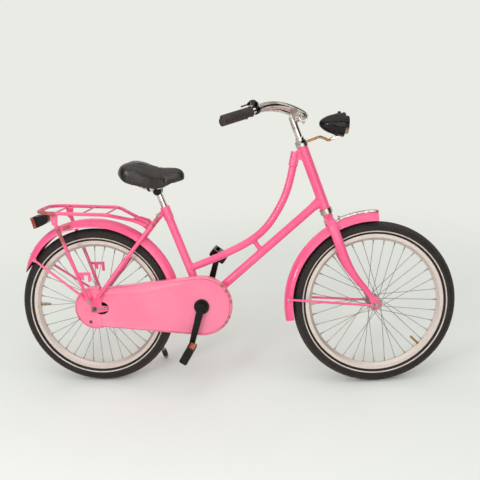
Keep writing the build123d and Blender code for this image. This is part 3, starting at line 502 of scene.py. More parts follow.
def arc(centre, radius, first, last, y, count):
    """Points round a centre in the side plane, between two angles in degrees up from ahead."""
    turn = np.radians(np.linspace(first, last, count))
    return np.stack([centre[0] + radius * np.cos(turn), np.full(count, float(y)),
                     centre[2] + radius * np.sin(turn)], -1)


def square_ring(centre, way, radius):
    """Ring round a centre, square to a way that lies in the side plane."""
    first = unit(np.cross(way, (0, 1, 0)))
    second = np.cross(unit(way), first)
    turn = full_turn(40)[:, None]
    return np.asarray(centre, float) + radius * (np.cos(turn) * first + np.sin(turn) * second)


def meeting(start, end, radius, main_point, main_way, main_radius):
    """Ring where a tube from start to end meets a main tube: each line of the tube, carried to the
    main tube's surface by solving for its distance from the main axis."""
    run, main_way = unit(np.subtract(end, start)), unit(main_way)
    lines = square_ring(start, run, radius)
    gap = lines - np.asarray(main_point, float)
    gap = gap - (gap @ main_way)[:, None] * main_way
    across = run - (run @ main_way) * main_way
    a, b, c = across @ across, 2 * gap @ across, (gap ** 2).sum(-1) - main_radius ** 2
    return lines + ((-b - np.sqrt(np.maximum(b * b - 4 * a * c, 0))) / (2 * a))[:, None] * run


def placed(name, data):
    """A new object in the scene."""
    made = bpy.data.objects.new(name, data)
    bpy.context.scene.collection.objects.link(made)
    return made


class Shape:
    """Surfaces gathered for one piece: points in millimetres of one frame, and faces."""

    def __init__(self, place):
        self.place = place
        self.points, self.faces, self.numbers = [], [], []
        self.count = 0

    def grid(self, points, loop_u=False, loop_v=False, number=None):
        """A surface of two parameters: points[u, v], closed on itself along u or v where looped."""
        points = np.asarray(points, float)
        rows, columns = points.shape[:2]
        index = np.arange(rows * columns).reshape(rows, columns) + self.count
        if loop_u:
            index = np.vstack([index, index[:1]])
        if loop_v:
            index = np.hstack([index, index[:, :1]])
        quads = np.stack([index[:-1, :-1], index[1:, :-1], index[1:, 1:], index[:-1, 1:]], -1).reshape(-1, 4)
        self.points.append(points.reshape(-1, 3))
        self.faces.extend(quads.tolist())
        self.numbers.append(np.zeros(rows * columns) if number is None else np.asarray(number, float).ravel())
        self.count += rows * columns
        return self

    def lathe(self, profile, origin, axis, sides=32, closed=False):
        """A turned shape: profile of (distance along the axis, radius), carried round the axis."""
        profile = np.asarray(profile, float)
        axis = unit(axis)
        first = unit(np.cross(axis, (0, 1, 0) if abs(axis[1]) < 0.9 else (1, 0, 0)))
        second = np.cross(axis, first)
        turn = full_turn(sides)[:, None]
        ring = np.cos(turn) * first + np.sin(turn) * second
        points = np.asarray(origin, float) + profile[:, None, :1] * axis + profile[:, None, 1:] * ring[None]
        return self.grid(points, loop_u=closed, loop_v=True)

    def tube(self, path, radius, sides=12, side=(0, 1, 0), loop=False, squash=1.0):
        """A bar along a path: rings square to it, closed at a pole at each end, or a closed ring."""
        path = np.asarray(path, float)
        radius = np.broadcast_to(np.asarray(radius, float), len(path))
        run = np.roll(path, -1, 0) - np.roll(path, 1, 0) if loop else np.gradient(path, axis=0)
        run = unit(run)
        first = unit(np.cross(run, side))
        second = np.cross(run, first)
        turn = full_turn(sides)[None, :, None]
        ring = np.cos(turn) * first[:, None] * squash + np.sin(turn) * second[:, None]
        points = path[:, None] + radius[:, None, None] * ring
        if not loop:
            ends = np.repeat(path[[0, -1], None], sides, 1)
            points = np.concatenate([ends[:1], points, ends[1:]])
        return self.grid(points, loop_u=loop, loop_v=True)

    def blocks(self, centres, half):
        """Many small boxes of one size, along the frame of reference's own axes."""
        corners = np.array([(x, y, z) for x in (-1, 1) for y in (-1, 1) for z in (-1, 1)]) * np.asarray(half)
        sides = np.array([(0, 1, 3, 2), (4, 6, 7, 5), (0, 4, 5, 1), (2, 3, 7, 6), (0, 2, 6, 4), (1, 5, 7, 3)])
        centres = np.asarray(centres, float)
        points = centres[:, None] + corners[None]
        faces = sides[None] + 8 * np.arange(len(centres))[:, None, None] + self.count
        self.points.append(points.reshape(-1, 3))
        self.numbers.append(np.zeros(8 * len(centres)))
        self.faces.extend(faces.reshape(-1, 4).tolist())
        self.count += 8 * len(centres)
        return self

    def bolt(self, at, axis, radius, height):
        """A washer with a chamfered hexagon head on it and a short rounded thread end."""
        flat, washer = radius * 0.22, radius * 1.45
        self.lathe([(0, 0), (0, washer), (flat, washer * 0.97), (flat, 0)], at, axis, 20)
        self.lathe([(flat, 0), (flat, radius), (height * 0.82, radius), (height, radius * 0.8), (height, 0)],
                   at, axis, 6)
        return self.lathe([(height - 0.2, 0), (height - 0.2, radius * 0.48), (height * 1.25, radius * 0.42),
                           (height * 1.3, 0)], at, axis, 12)

    def screw(self, at, axis, radius, height):
        """A domed screw head with a driver recess in its middle."""
        profile = [(0, 0), (0, radius), (height * 0.5, radius * 0.93), (height * 0.9, radius * 0.6),
                   (height, radius * 0.34), (height * 0.45, radius * 0.26), (height * 0.45, 0)]
        return self.lathe(profile, at, axis, 20)

    def finish(self, name, body, material, number_name=None, sharp=35.0):
        """Makes the piece: doubles merged, faces turned outwards, finish and body set."""
        mesh = bpy.data.meshes.new(name)
        points = self.place.at(np.concatenate(self.points))
        mesh.from_pydata(points.tolist(), [], self.faces)
        if number_name:
            layer = mesh.attributes.new(number_name, "FLOAT", "POINT")
            layer.data.foreach_set("value", np.concatenate(self.numbers))
        work = bmesh.new()
        work.from_mesh(mesh)
        bmesh.ops.remove_doubles(work, verts=work.verts, dist=2e-6)
        bmesh.ops.dissolve_degenerate(work, edges=work.edges, dist=1e-7)
        bmesh.ops.recalc_face_normals(work, faces=work.faces)
        work.to_mesh(mesh)
        work.free()
        mesh.materials.append(material)
        made = placed(name, mesh)
        mesh.shade_smooth()
        mesh.set_sharp_from_angle(angle=radians(sharp))
        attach(made, body)
        return made


# ---- wheels
def make_tyre(name, centre, place, body):
    """Tyre casing: a round section carried round the axle, cut by ribs and shoulder blocks.

    The section angle runs from bead to bead over the crown. Radius = 250 + (22.7 - cut) cos(angle),
    width = (22.7 - cut) sin(angle), where the cut is the tread pattern's depth.
    """
    turn = full_turn(900)[:, None]

    def carried(radius, width):
        """Points of the section carried round the axle."""
        ahead, over = centre[0] + radius * np.cos(turn), centre[2] + radius * np.sin(turn)
        return np.stack([ahead, width + 0 * turn, over], -1)

    wrap = np.linspace(-1, 1, 61)
    section = (np.radians(TYRE_WRAP) * np.sign(wrap) * np.abs(wrap) ** 1.05)[None, :]
    across = section / pi
    out = np.abs(across)
    shoulder = np.clip((out - 0.10) / 0.03, 0, 1) * np.clip((0.36 - out) / 0.03, 0, 1)
    wave = np.sin(turn * TYRE_BLOCKS + np.sign(section) * 1.2 + out * 9.0)
    blocks = shoulder * np.clip((wave - 0.35) * 3.5, 0, 1) * 1.5
    groove = np.exp(-((out - 0.10) / 0.014) ** 2) * 1.6
    centre_cut = np.exp(-(across / 0.010) ** 2) * 1.0
    rings = np.exp(-((out - 0.40) / 0.008) ** 2) * 0.5
    moulding = -np.exp(-((out - 0.72) / 0.012) ** 2) * 0.5
    cut = np.maximum(np.maximum(blocks, groove), np.maximum(centre_cut, rings)) + moulding
    reach = TYRE_ROUND - 0.3 - cut
    radius = TYRE_RADIUS - TYRE_ROUND + reach * np.cos(section)
    width = reach * np.sin(section)
    shape = Shape(place)
    shape.grid(carried(radius, width), loop_u=True, number=np.broadcast_to(across, radius.shape))
    ends = np.stack([radius[0, [0, -1]], width[0, [0, -1]]], -1)
    bead = np.concatenate([ends[:1], [[226.0, -9.5], [224.0, -8.0], [224.0, 8.0], [226.0, 9.5]], ends[1:]])
    ring = carried(*bead.T[:, None])
    shape.grid(ring, loop_u=True, number=np.full(ring.shape[:2], 0.9))
    made = shape.finish(name + "_casing", body, RUBBER, "across", sharp=50.0)
    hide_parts(name)


def make_wheel_trim(name, centre, place, body, flange_y, valve_angle):
    """Nipples in the rim, spoke heads on the hub's flanges, and the valve."""
    centre = np.asarray(centre, float)
    nipples, heads = Shape(place), Shape(place)
    nipple = [(-2, 0), (-2, 3.0), (2.2, 3.0), (3.6, 2.0), (13, 1.8), (14, 1.2), (14, 0)]
    head = [(-1.4, 0), (-1.4, 2.3), (0.6, 2.2), (1.6, 1.2), (1.8, 0)]
    valve = [(0, 0), (0, 6.5), (2, 6.5), (2.6, 4.1), (16, 3.7), (17, 4.6), (19, 4.6), (20, 3.2), (22, 3.0),
             (22.5, 4.0), (33, 3.7), (37, 2.6), (38, 0)]
    for number in range(SPOKES):
        side = 1 if number % 2 else -1
        turn = 1 if number % 4 < 2 else -1
        at_rim = number * 360 / SPOKES
        beside = 3.9 if turn > 0 else -2.8
        outer = centre + side_way(at_rim) * (RIM_INNER - 1.5)
        inner = centre + side_way(at_rim + turn * 64) * HUB_FLANGE + (0, side * (flange_y + beside), 0)
        nipples.lathe(nipple, outer, inner - outer, 10)
        heads.lathe(head, inner, (0, side * turn, 0), 10)
    nipples.finish(name + "_nipples", body, ZINC)
    heads.finish(name + "_spoke_heads", body, SPOKE_STEEL)
    way = side_way(valve_angle)
    foot = centre + way * (RIM_INNER + 1)
    Shape(place).lathe(valve, foot, -way, 18).finish(name + "_valve", body, BRASS)


def make_axle(name, centre, place, body, node, half, inner, outer, radius, material):
    """Axle: a threaded rod, and on each side a cone with its locknut inside and a flanged nut outside."""
    shape = Shape(place)
    along = np.arange(-half, half + 0.01, 0.5)
    thread = radius - 0.35 * (np.arange(len(along)) % 2)
    shape.lathe([(-half, 0), *zip(along, thread), (half, 0)], centre, (0, 1, 0), 16)
    cone, locknut = inner[0], inner[1] - 6
    flange, nut = outer[0], outer[0] + 2.2
    profiles = (
        (24, [(cone, 0), (cone, 6.6), (cone + 6, 7.8), (locknut, 7.8), (locknut, 0)]),
        (6, [(locknut, 0), (locknut, 8), (inner[1] - 1, 8), (inner[1], 7.2), (inner[1], 0)]),
        (28, [(flange, 0), (flange, 8.4), (flange + 1.6, 8.4), (nut, 7.6), (nut, 0)]),
        (6, [(nut, 0), (nut, 8.2), (outer[1] - 1.2, 8.2), (outer[1], 6.8), (outer[1], 0)]),
    )
    for side in (-1, 1):
        for sides, profile in profiles:
            shape.lathe(profile, centre, (0, side, 0), sides)
    made = shape.finish(name, body, material)
    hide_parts(node)


make_tyre("rear_tyre", REAR_AXLE, BIKE, "rear_wheel")
make_tyre("front_tyre", FRONT_AXLE, FORK, "front_wheel")
make_wheel_trim("rear", REAR_AXLE, BIKE, "rear_wheel", 26, 178.0)
make_wheel_trim("front", FRONT_AXLE, FORK, "front_wheel", 29, -45.0)
make_axle("rear_axle_parts", REAR_AXLE, BIKE, "frame", "rear_axle", 78, (35.5, 57), (61, 69), 4.9, RUSTY)
make_axle("front_axle_parts", FRONT_AXLE, FORK, "fork", "front_axle", 62, (38.5, 45), (49, 57), 4.7, ZINC)


# ---- frame joints
def make_frame_joints():
    """Brazed beads where the tubes meet, the sleeves' rolled ends, and the ends of the rack's cross bars."""
    down_top = on_steering(372)
    down_way = unit(CRANK - down_top)
    shape = Shape(BIKE)
    rings = [
        (meeting((405, 0, 154), on_seat_tube(127), 13.2, on_seat_tube(127), SEAT_WAY, 14.3), 2.2),
        (meeting(down_top + down_way * 60, down_top, 16.6, on_steering(400), STEERING_WAY, 17), 2.4),
        (meeting((584, 0, 176), (551, 0, 226), 8.3, (511, 0, 202), (71, 0, 37), 12.7), 1.8),
        (meeting((551, 0, 226), (584, 0, 176), 8.3, CRANK, down_way, 14.3), 1.8),
    ]
    sleeves = [
        (square_ring((692, 0, 466), (10, 0, 44), 13.9), 1.5),
        (square_ring(down_top + down_way * 34, down_way, 15.2), 1.3),
        (square_ring(on_seat_tube(300), SEAT_WAY, 15.6), 1.1),
        (square_ring(on_seat_tube(340), SEAT_WAY, 15.2), 1.2),
        (square_ring(on_steering(341), STEERING_WAY, 16.9), 1.2),
        (square_ring(on_steering(556), STEERING_WAY, 16.9), 1.2),
    ]
    for ring, bead in rings + sleeves:
        shape.tube(ring, bead, 10, side=unit(ring - ring.mean(0)), loop=True)
    bar_end = [(-5, 0), (-4, 3.2), (-1, 4.6), (2, 4.6), (5, 0)]
    for x in RACK_BARS:
        rail_height = RACK_REAR_Z - (x - RACK_REAR_X) * RACK_FALL
        for side in (-1, 1):
            shape.lathe(bar_end, (x, side * 92, rail_height), (0, side, 0), 14)
    shape.finish("frame_joints", "frame", PINK, sharp=60.0)


def make_guard_edges():
    """Rolled edges and two pressed beads along each mudguard, and the plated crest on the front one: an
    oval bar with blunt ends."""
    centre = side_way(135) * 8
    tail_centre = centre + side_way(114) * (REAR_GUARD - REAR_GUARD_TAIL)
    rear, front = Shape(BIKE), Shape(FORK)
    for y, drop, size in ((-28.4, 26.0, 1.3), (28.4, 26.0, 1.3), (-13.0, 3.6, 1.2), (13.0, 3.6, 1.2)):
        body = arc(centre, REAR_GUARD - drop, 9, 114, y, 90)
        tail = arc(tail_centre, REAR_GUARD_TAIL - drop, 114, 152 if drop > 9 else 160, y, 36)
        rear.tube(np.concatenate([body, tail[1:]]), size, 8)
        front.tube(arc(FRONT_AXLE, FRONT_GUARD - drop, 87.5, 189.5, y, 100), size, 8)
    blunt = 8.6 * np.minimum(1, 4.5 * np.sin(np.linspace(0.02, pi - 0.02, 60))) ** 0.5
    crest = Shape(FORK).tube(arc(FRONT_AXLE, FRONT_GUARD + 2.2, 86.6, 113.0, 0, 60), blunt, 20, squash=0.74)
    crest.finish("front_mudguard_crest", "fork", CHROME)
    rear.finish("rear_mudguard_lips", "frame", STAY_PINK)
    front.finish("front_mudguard_lips", "fork", PINK)


make_frame_joints()
make_guard_edges()


# ---- chain case
def case_path(inset, y, count):
    """Points along the case's outline at an inset: the front disc, both tangents and the rear disc."""
    tilt = np.degrees(radians(90) + asin(38 / 372.4))
    ahead = arc(CRANK, CASE_FRONT - inset, -tilt, tilt, y, count)
    back = arc((2, 0, 2), CASE_REAR - inset, 76, 284, y, count)
    return np.concatenate([ahead, back])


def make_case_details():
    """Pressed welt round the case's face, the long swelling under its upper edge, and its screws.

    The swelling stands 2.4 mm off the face in the middle of its width, falling as 1 - across squared, and
    less towards its ends. A flat back close to the face shuts it.
    """
    # The welt's darker pink is painted shade along its crease.
    lip = Shape(BIKE).tube(case_path(7.5, CASE_FACE, 90), 0.9, 8, loop=True)
    lip.finish("chain_case_welt", "frame", CASE_EDGE)
    middle = [(12, 0, 50), (39, 0, 52.4), (110, 0, 56.5), (175, 0, 59.5), (226, 0, 68), (276, 0, 77.5),
              (318, 0, 80)]
    line = smooth_path(middle, 80)[:, None]
    wrap = np.linspace(-1, 1, 17)[None, :, None]
    fade = np.minimum(1, 3.0 * np.sin(np.linspace(0, pi, 80)))[:, None, None]
    swell = -56.9 - 2.4 * fade * (1 - wrap ** 2)
    front = line + wrap * np.array([0, 0, 9.5]) + swell * np.array([0.0, 1.0, 0.0])
    back = front[:, ::-1] * (1, 0, 1) + (0, -56.2, 0)
    crown = Shape(BIKE).grid(np.concatenate([front, back], 1), loop_v=True)
    crown.finish("chain_case_crown", "frame", CASE_PINK, sharp=60.0)
    silver, rusty = Shape(BIKE), Shape(BIKE)
    silver.bolt((-11, -87.3, 30), (0, -1, 0), 4.8, 3.4)
    rusty.screw((-18, CASE_FACE, -47), (0, -1, 0), 6.2, 3.0)
    for x, z in ((300, 80), (452, 52), (340, -76)):
        silver.screw((x, -31.6, z), (0, 1, 0), 3.5, 1.6)
    silver.finish("chain_case_screws", "frame", ZINC)
    rusty.finish("chain_case_rusty_screw", "frame", RUSTY)


def make_chain_adjuster():
    """Adjuster on each side of the rear axle: an eye round it and a threaded pull with its nut ahead."""
    shape = Shape(BIKE)
    for side in (-1, 1):
        y = side * 61.6
        shape.lathe([(0, 5.2), (0, 10), (2.4, 10), (2.4, 5.2)], (0, y, 0), (0, side, 0), 28, closed=True)
        shape.tube(np.linspace((9, y + side * 1.2, 0), (44, y + side * 1.2, 3), 12), 2.2, 10)
        shape.bolt((36, y + side * 1.2, 2.3), (1, 0, 0.08), 3.6, 5)
    shape.finish("chain_adjusters", "frame", ZINC)


make_case_details()
make_chain_adjuster()


# ---- bolts
def make_bolts(name, place, body, pairs, singles):
    """Hexagon bolts with washers: the same on both sides, or each facing its own way."""
    shape = Shape(place)
    for (x, y, z), radius, height in pairs:
        for side in (-1, 1):
            shape.bolt((x, side * y, z), (0, side, 0), radius, height)
    for at, way, radius, height in singles:
        shape.bolt(at, way, radius, height)
    shape.finish(name, body, ZINC)


def make_stay_ends():
    """Flattened eyes at both ends of the mudguard stays, where their bolts pass."""
    rear, front = Shape(BIKE), Shape(FORK)
    eye = [(0, 0), (0, 7), (0.6, 7.6), (2.6, 7.6), (3.2, 7), (3.2, 0)]
    for shape, x, y, z in ((rear, -210, 33.3, 171), (rear, -30, 64.6, 39), (rear, -11, 84, 30),
                           (front, 666, 33, 24), (front, 940, 52.9, -2)):
        for side in (-1, 1):
            shape.lathe(eye, (x, side * y, z), (0, side, 0), 24)
    rear.finish("rear_stay_ends", "frame", PINK)
    front.finish("front_stay_ends", "fork", PINK)


make_bolts("frame_bolts", BIKE, "frame", [
    ((238, 25, 314), 6.4, 7.0), ((-106, 94, 312), 4.0, 3.4), ((160, 23, 303), 3.2, 3.0),
    ((197, 23, 288), 3.2, 3.0), ((-210, 36.5, 171), 3.4, 3.0),
], [
    ((-11, 87, 30), (0, 1, 0), 3.6, 3.2), ((-30, 67.6, 39), (0, 1, 0), 3.6, 3.2),
    ((-232, 4, 186), (-0.87, 0, 0.5), 3.2, 3.4), ((128, 47.2, -18), (0, 1, 0), 3.8, 3.6),
    ((152, 58.2, 4), (0, 1, 0), 4.2, 4.0),
])
make_bolts("fork_bolts", FORK, "fork", [((666, 36.2, 24), 3.4, 3.0), ((940, 56.0, -2), 3.4, 3.0)], [
    ((838, 0, 289), (0.97, 0, 0.24), 5.0, 7.0), ((799, 0, 279), (-0.97, 0, -0.24), 5.0, 7.0),
])
make_stay_ends()


# ---- handlebar, grips and headlamp
def make_grips():
    """Ribbed rubber grips: a flange, rings 7 mm apart with finger channels between, a rounded end."""
    pitch = 7
    start, end = np.array([552, 230, 640.0]), np.array([465, 272.5, 617.0])
    length = np.linalg.norm(end - start)
    along = np.arange(6.5, length - 3, 0.7)
    wave = along * 2 * pi / pitch
    ridge = 14.7 + 0.75 * np.cos(wave) - 0.3 * np.cos(wave * 2)
    profile = [(0, 11.3), (0, 15.8), (0.8, 16.5), (4.2, 16.5), (5.2, 15.6), *zip(along, ridge),
               (length - 1, 15.2), (length + 2, 14.6), (length + 3.6, 12.4), (length + 4, 9), (length + 4, 0),
               (length + 0.4, 0), (length + 0.4, 11.3)]
    shape = Shape(FORK)
    for side in (-1, 1):
        flip = np.array([1, side, 1])
        shape.lathe(profile, start * flip, (end - start) * flip, 40, closed=True)
    made = shape.finish("handlebar_grips", "fork", GRIP_RUBBER, sharp=60.0)
    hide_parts("grips")


def make_stem_details():
    """Clamp bolt under the stem, the clamp's end rings, the quill bolt's washer and hexagon on top, and the
    ring round the stem's foot."""
    shape = Shape(FORK)
    clamp = on_steering(646, 34)
    shape.bolt(clamp + (2, 0, -14), (0.15, 0, -1), 4.4, 7)
    end_ring = [(0, 11.4), (0, 15.9), (1.2, 16.2), (2.4, 15.4), (2.4, 11.4)]
    for side in (-1, 1):
        shape.lathe(end_ring, clamp + (0, side * 17, 0), (0, side, 0), 32, closed=True)
    shape.lathe([(0, 0), (0, 10.6), (1.6, 9.4), (1.8, 0)], on_steering(658), STEERING_WAY, 28)
    shape.lathe([(1, 0), (1, 6.3), (7.4, 6.3), (8.2, 5.4), (8.2, 0)], on_steering(658), STEERING_WAY, 6)
    foot = [(0, 12.4), (0, 14.4), (2.5, 14.8), (5, 13.6), (6, 12.4)]
    shape.lathe(foot, on_steering(583), STEERING_WAY, 32, closed=True)
    shape.finish("stem_details", "fork", CHROME)


def make_headlamp():
    """Headlamp front: a bezel over the lens, a black step ring with a switch above and a screw below, the
    lens with its ribs, the bracket's copper-brown strip and its clamp.

    The lens stands out by 2.4 (1 - (radius / 24.8) squared) and by ribs of 0.35 |sin(0.55 across)|.
    """
    tip, front = np.array([780, 0, 598.0]), np.array([883, 0, 588.5])
    axis = unit(front - tip)
    bezel = [(82, 27.5), (82, 29.4), (93.5, 29.4), (95.5, 28.2), (96, 25.6), (94.6, 24.8), (92, 25.4),
             (87, 27.5)]
    Shape(FORK).lathe(bezel, tip, axis, 56, closed=True).finish("headlamp_bezel", "fork", BEZEL)
    step = [(75, 36.5), (75, 38.9), (76.4, 39.4), (81, 39.4), (82.5, 38.2), (82.5, 28.6), (80.5, 28.6)]
    switch = [(0, 0), (0, 5), (2, 5.4), (5, 4.2), (6, 0)]
    screw = [(0, 0), (0, 6), (2, 6), (3.4, 4), (4, 0)]
    body = Shape(FORK).lathe(step, tip, axis, 56, closed=True)
    body.lathe(switch, tip + axis * 66 + (0, 0, 36.5), (0, 0, 1), 18)
    body.lathe(screw, tip + axis * 60 - (0, 0, 35.4), (0, 0, -1), 18)
    body.finish("headlamp_step_ring", "fork", BLACK_PLASTIC)
    lens_radius = 24.8
    radius = np.linspace(0, lens_radius, 24)[:, None]
    turn = full_turn(120)[None, :]
    across, up = radius * np.sin(turn), radius * np.cos(turn)
    bulge = 94.9 + 2.4 * (1 - (radius / lens_radius) ** 2) + 0.35 * np.abs(np.sin(across * 0.55))
    disc = tip + np.stack([bulge, up, across], -1) @ [axis, np.cross(axis, (0, 1, 0)), (0, 1, 0)]
    back = [(91.8, 0), (91.8, lens_radius), (94.9, lens_radius)]
    glass = Shape(FORK).grid(disc, loop_v=True).lathe(back, tip, axis, 120)
    glass.finish("headlamp_glass", "fork", CLEAR, sharp=60.0)
    strip = smooth_path([(742, 0, 542.7), (762, 0, 549), (781, 0, 554.7), (796, 0, 549.5), (810, 0, 543.2),
                         (822, 0, 548.7)], 50)
    Shape(FORK).tube(strip, 8.5, 16, squash=0.5).finish("headlamp_bracket_strip", "fork", COPPER)
    outline = [(816, 549), (840, 556), (842, 553), (818, 545)]
    clamp = Shape(FORK).grid([[(x, side * 11, z) for x, z in outline] for side in (-1, 1)], loop_v=True)
    clamp.faces += [[0, 1, 2, 3], [7, 6, 5, 4]]
    clamp.bolt((828, 0, 551.5), (-0.28, 0, 0.96), 4.2, 5)
    clamp.bolt((828, 0, 548.5), (0.28, 0, -0.96), 4.2, 4)
    clamp.finish("headlamp_clamp", "fork", CHROME)


make_grips()
make_stem_details()
make_headlamp()


# ---- saddle
def read(mesh, what):
    """Places or normals of a mesh's vertices, as rows."""
    values = np.empty(len(mesh.vertices) * 3)
    mesh.vertices.foreach_get(what, values)
    return values.reshape(-1, 3)


def make_saddle():
    """Padded saddle: the seat's solid remeshed at 4 mm, drawn in by 1.2 mm and blown up by cloth pressure,
    each point's way capped at 5 mm, then subdivided once."""
    mesh = frame["nodes"]["saddle"].data.copy()
    work = bmesh.new()
    work.from_mesh(mesh)
    bmesh.ops.remove_doubles(work, verts=work.verts, dist=2e-5)
    bmesh.ops.recalc_face_normals(work, faces=work.faces)
    work.to_mesh(mesh)
    work.free()
    made = placed("saddle_cover", mesh)

    def applied():
        """The saddle's mesh with its modifiers applied, in place of the one before."""
        graph = bpy.context.evaluated_depsgraph_get()
        fresh = bpy.data.meshes.new_from_object(made.evaluated_get(graph))
        made.modifiers.clear()
        made.data = fresh
        return fresh

    voxels = made.modifiers.new("voxels", "REMESH")
    voxels.mode, voxels.voxel_size = "VOXEL", 0.004
    rounding = made.modifiers.new("rounding", "SMOOTH")
    rounding.factor, rounding.iterations = 0.6, 8
    mesh = applied()
    drawn = read(mesh, "co") - read(mesh, "normal") * 0.0012
    mesh.vertices.foreach_set("co", drawn.ravel())
    cloth = made.modifiers.new("pressure", "CLOTH").settings
    cloth.use_pressure, cloth.uniform_pressure_force = True, 4.0
    cloth.effector_weights.gravity = 0.0
    for number in range(1, 21):
        bpy.context.scene.frame_set(number)
    mesh = applied()
    move = read(mesh, "co") - drawn
    far = np.linalg.norm(move, axis=1, keepdims=True)
    move *= np.minimum(1, 0.005 / np.maximum(far, 1e-9))
    mesh.vertices.foreach_set("co", (drawn + move).ravel())
    bpy.context.scene.frame_set(1)
    finer = made.modifiers.new("finer", "SUBSURF")
    finer.levels = finer.render_levels = 1
    mesh = applied()
    mesh.materials.clear()
    mesh.materials.append(VINYL)
    mesh.shade_smooth()
    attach(made, "frame")
    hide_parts("saddle")


def make_saddle_details():
    """Bright rails under the saddle and the clamp's bolt."""
    rails = Shape(BIKE)
    for side in (-1, 1):
        path = smooth_path([(150, side * 33, 433), (172, side * 25.5, 419.5), (198, side * 18, 406.5),
                            (222, side * 18, 406), (246, side * 18, 406.5), (270, side * 12, 417)], 40)
        rails.tube(path, 3.9, 12)
        rails.bolt((220, side * 26, 405), (0, side, 0), 5.6, 7)
    rails.finish("saddle_rails", "frame", CHROME)


make_saddle()
make_saddle_details()


# ---- cranks and pedals
def crank_end(side):
    """Where a crank's pedal axis crosses the middle plane. Side is -1 for the right crank, 1 for the left."""
    return CRANK + side_way(90 - CRANK_TURN) * side * CRANK_LENGTH


def make_crank_details():
    """Dust caps over the spindle's ends, the pedal axles' flats and stubs, and the screws on the disc."""
    shape = Shape(BIKE)
    cap = [(0, 0), (0, 12.6), (1.6, 12.2), (2.4, 10.4), (1.4, 9.0), (1.4, 4.2), (2.2, 3.4), (2.2, 0)]
    flats = [(0, 0), (0, 8.5), (1, 9), (2.2, 9), (2.8, 8), (2.8, 0)]
    stub = [(0, 0), (0, 5), (1.6, 4.6), (1.8, 0)]
    for side in (-1, 1):
        shape.lathe(cap, CRANK + (0, side * 80, 0), (0, side, 0), 36)
        shape.lathe(flats, crank_end(side) + (0, side * 78, 0), (0, side, 0), 6)
        shape.lathe(stub, crank_end(side) + (0, side * 66, 0), (0, -side, 0), 20)
    for number in range(5):
        shape.screw(CRANK + side_way(number * 72 + 20) * 22.5 + (0, -62.8, 0), (0, -1, 0), 1.8, 0.9)
    shape.finish("crank_details", "crankset", BLACK_ALLOY)


def make_pedal_details(body, side, slope):
    """Anti-slip ribs on both faces of a pedal's treads, studs on its ends, and its dust cap."""
    shape = Shape(BIKE.inner(crank_end(side) + (0, side * 81, 0), side_way(slope), (0, side, 0)))
    out = np.linspace(14, 70, 12)
    for face in (-1, 1):
        for along in (-25.0, 0.0, 25.0):
            reach = 3.2 if along else 6.5
            ribs = [(along + offset, width, face * 13.6)
                    for width in out for offset in (-reach / 1.6, reach / 1.6)]
            shape.blocks(ribs, (reach / 2.1, 1.5, 0.7))
    for along, half in ((14.5, 4.5), (25, 2.2)):
        shape.blocks([(-along, 83.8, 0), (along, 83.8, 0)], (half, 0.6, 8.5))
    shape.lathe([(0, 0), (0, 8), (1.4, 7.6), (1.8, 5.5), (1.8, 0)], (0, 83.6, 0), (0, 1, 0), 28)
    shape.finish(body + "_ribs", body, BLACK_PLASTIC)


make_crank_details()
make_pedal_details("pedal_right", -1, 59)
make_pedal_details("pedal_left", 1, -37)


# ---- rear lamp and stand
def make_rear_lamp_details():
    """Ribs across the rear lens, the frame round it, and the housing's screws and top plate."""
    lamp = BIKE.inner((-196.5, 0, 302), side_way(15), (0, 1, 0))
    shape = Shape(lamp)
    shape.blocks([(-11.5, 0, height) for height in np.linspace(-18, 18, 10)], (0.5, 31, 0.6))
    shape.finish("rear_lamp_ribs", "frame", RED)
    body = Shape(lamp)
    body.blocks([(1.0, 0, 0)], (1.1, 31.2, 20.0))
    body.blocks([(20, 0, 17.6)], (13, 11, 0.9))
    for side in (-1, 1):
        body.screw((14, side * 30, 2), (0, side, 0), 4, 1.6)
    body.finish("rear_lamp_frame", "frame", BLACK_PLASTIC)


def make_stand_details():
    """Ribbed rubber foot on the side stand: rings 4 mm apart along the leg's end."""
    foot = np.array([196.0, 165.0, -237.9])
    run = unit(np.array([165.0, 55.0, -34.0]) - foot)
    along = np.arange(4, 30, 1.0)
    ridge = 9.3 + 0.35 * (np.arange(len(along)) % 4 > 1)
    cap = Shape(BIKE).lathe([(4, 0), *zip(along, ridge), (30, 0)], foot, run, 24)
    cap.finish("stand_foot_cap", "stand", GRIP_RUBBER)


make_rear_lamp_details()
make_stand_details()


# ---- studio
BACKGROUND = "eaebe5"
FLOOR_SHADE = "ebeee9"


def make_sheet(name, corners, material):
    """A flat stage piece from its four corners."""
    mesh = bpy.data.meshes.new(name)
    mesh.from_pydata(corners, [], [(0, 1, 2, 3)])
    mesh.materials.append(material)
    made = placed(name, mesh)
    return made


def make_floor():
    """Pale floor that fades into the backdrop colour away from the bicycle."""
    made = Finish("floor", Base_Color=FLOOR_SHADE, Roughness=0.9, Specular_IOR_Level=0.1)
    fade = made.distance((0.0, 0.0, 0.0)).between(0.8, 2.2)
    camera_ray = made.node("ShaderNodeLightPath", output="Is Camera Ray")
    plain = made.node("ShaderNodeEmission", None, {"Color": BACKGROUND, "Strength": 1.0})
    lit = Value(made, made.shader.outputs[0])
    mixed = made.node("ShaderNodeMixShader", None, {0: fade * camera_ray, 1: lit, 2: plain})
    made.tree.links.new(mixed.socket, made.tree.nodes["Material Output"].inputs["Surface"])
    half = 8.0
    corners = [(-half, -half, 0), (half, -half, 0), (half, half, 0), (-half, half, 0)]
    make_sheet("studio_floor", corners, made.material)


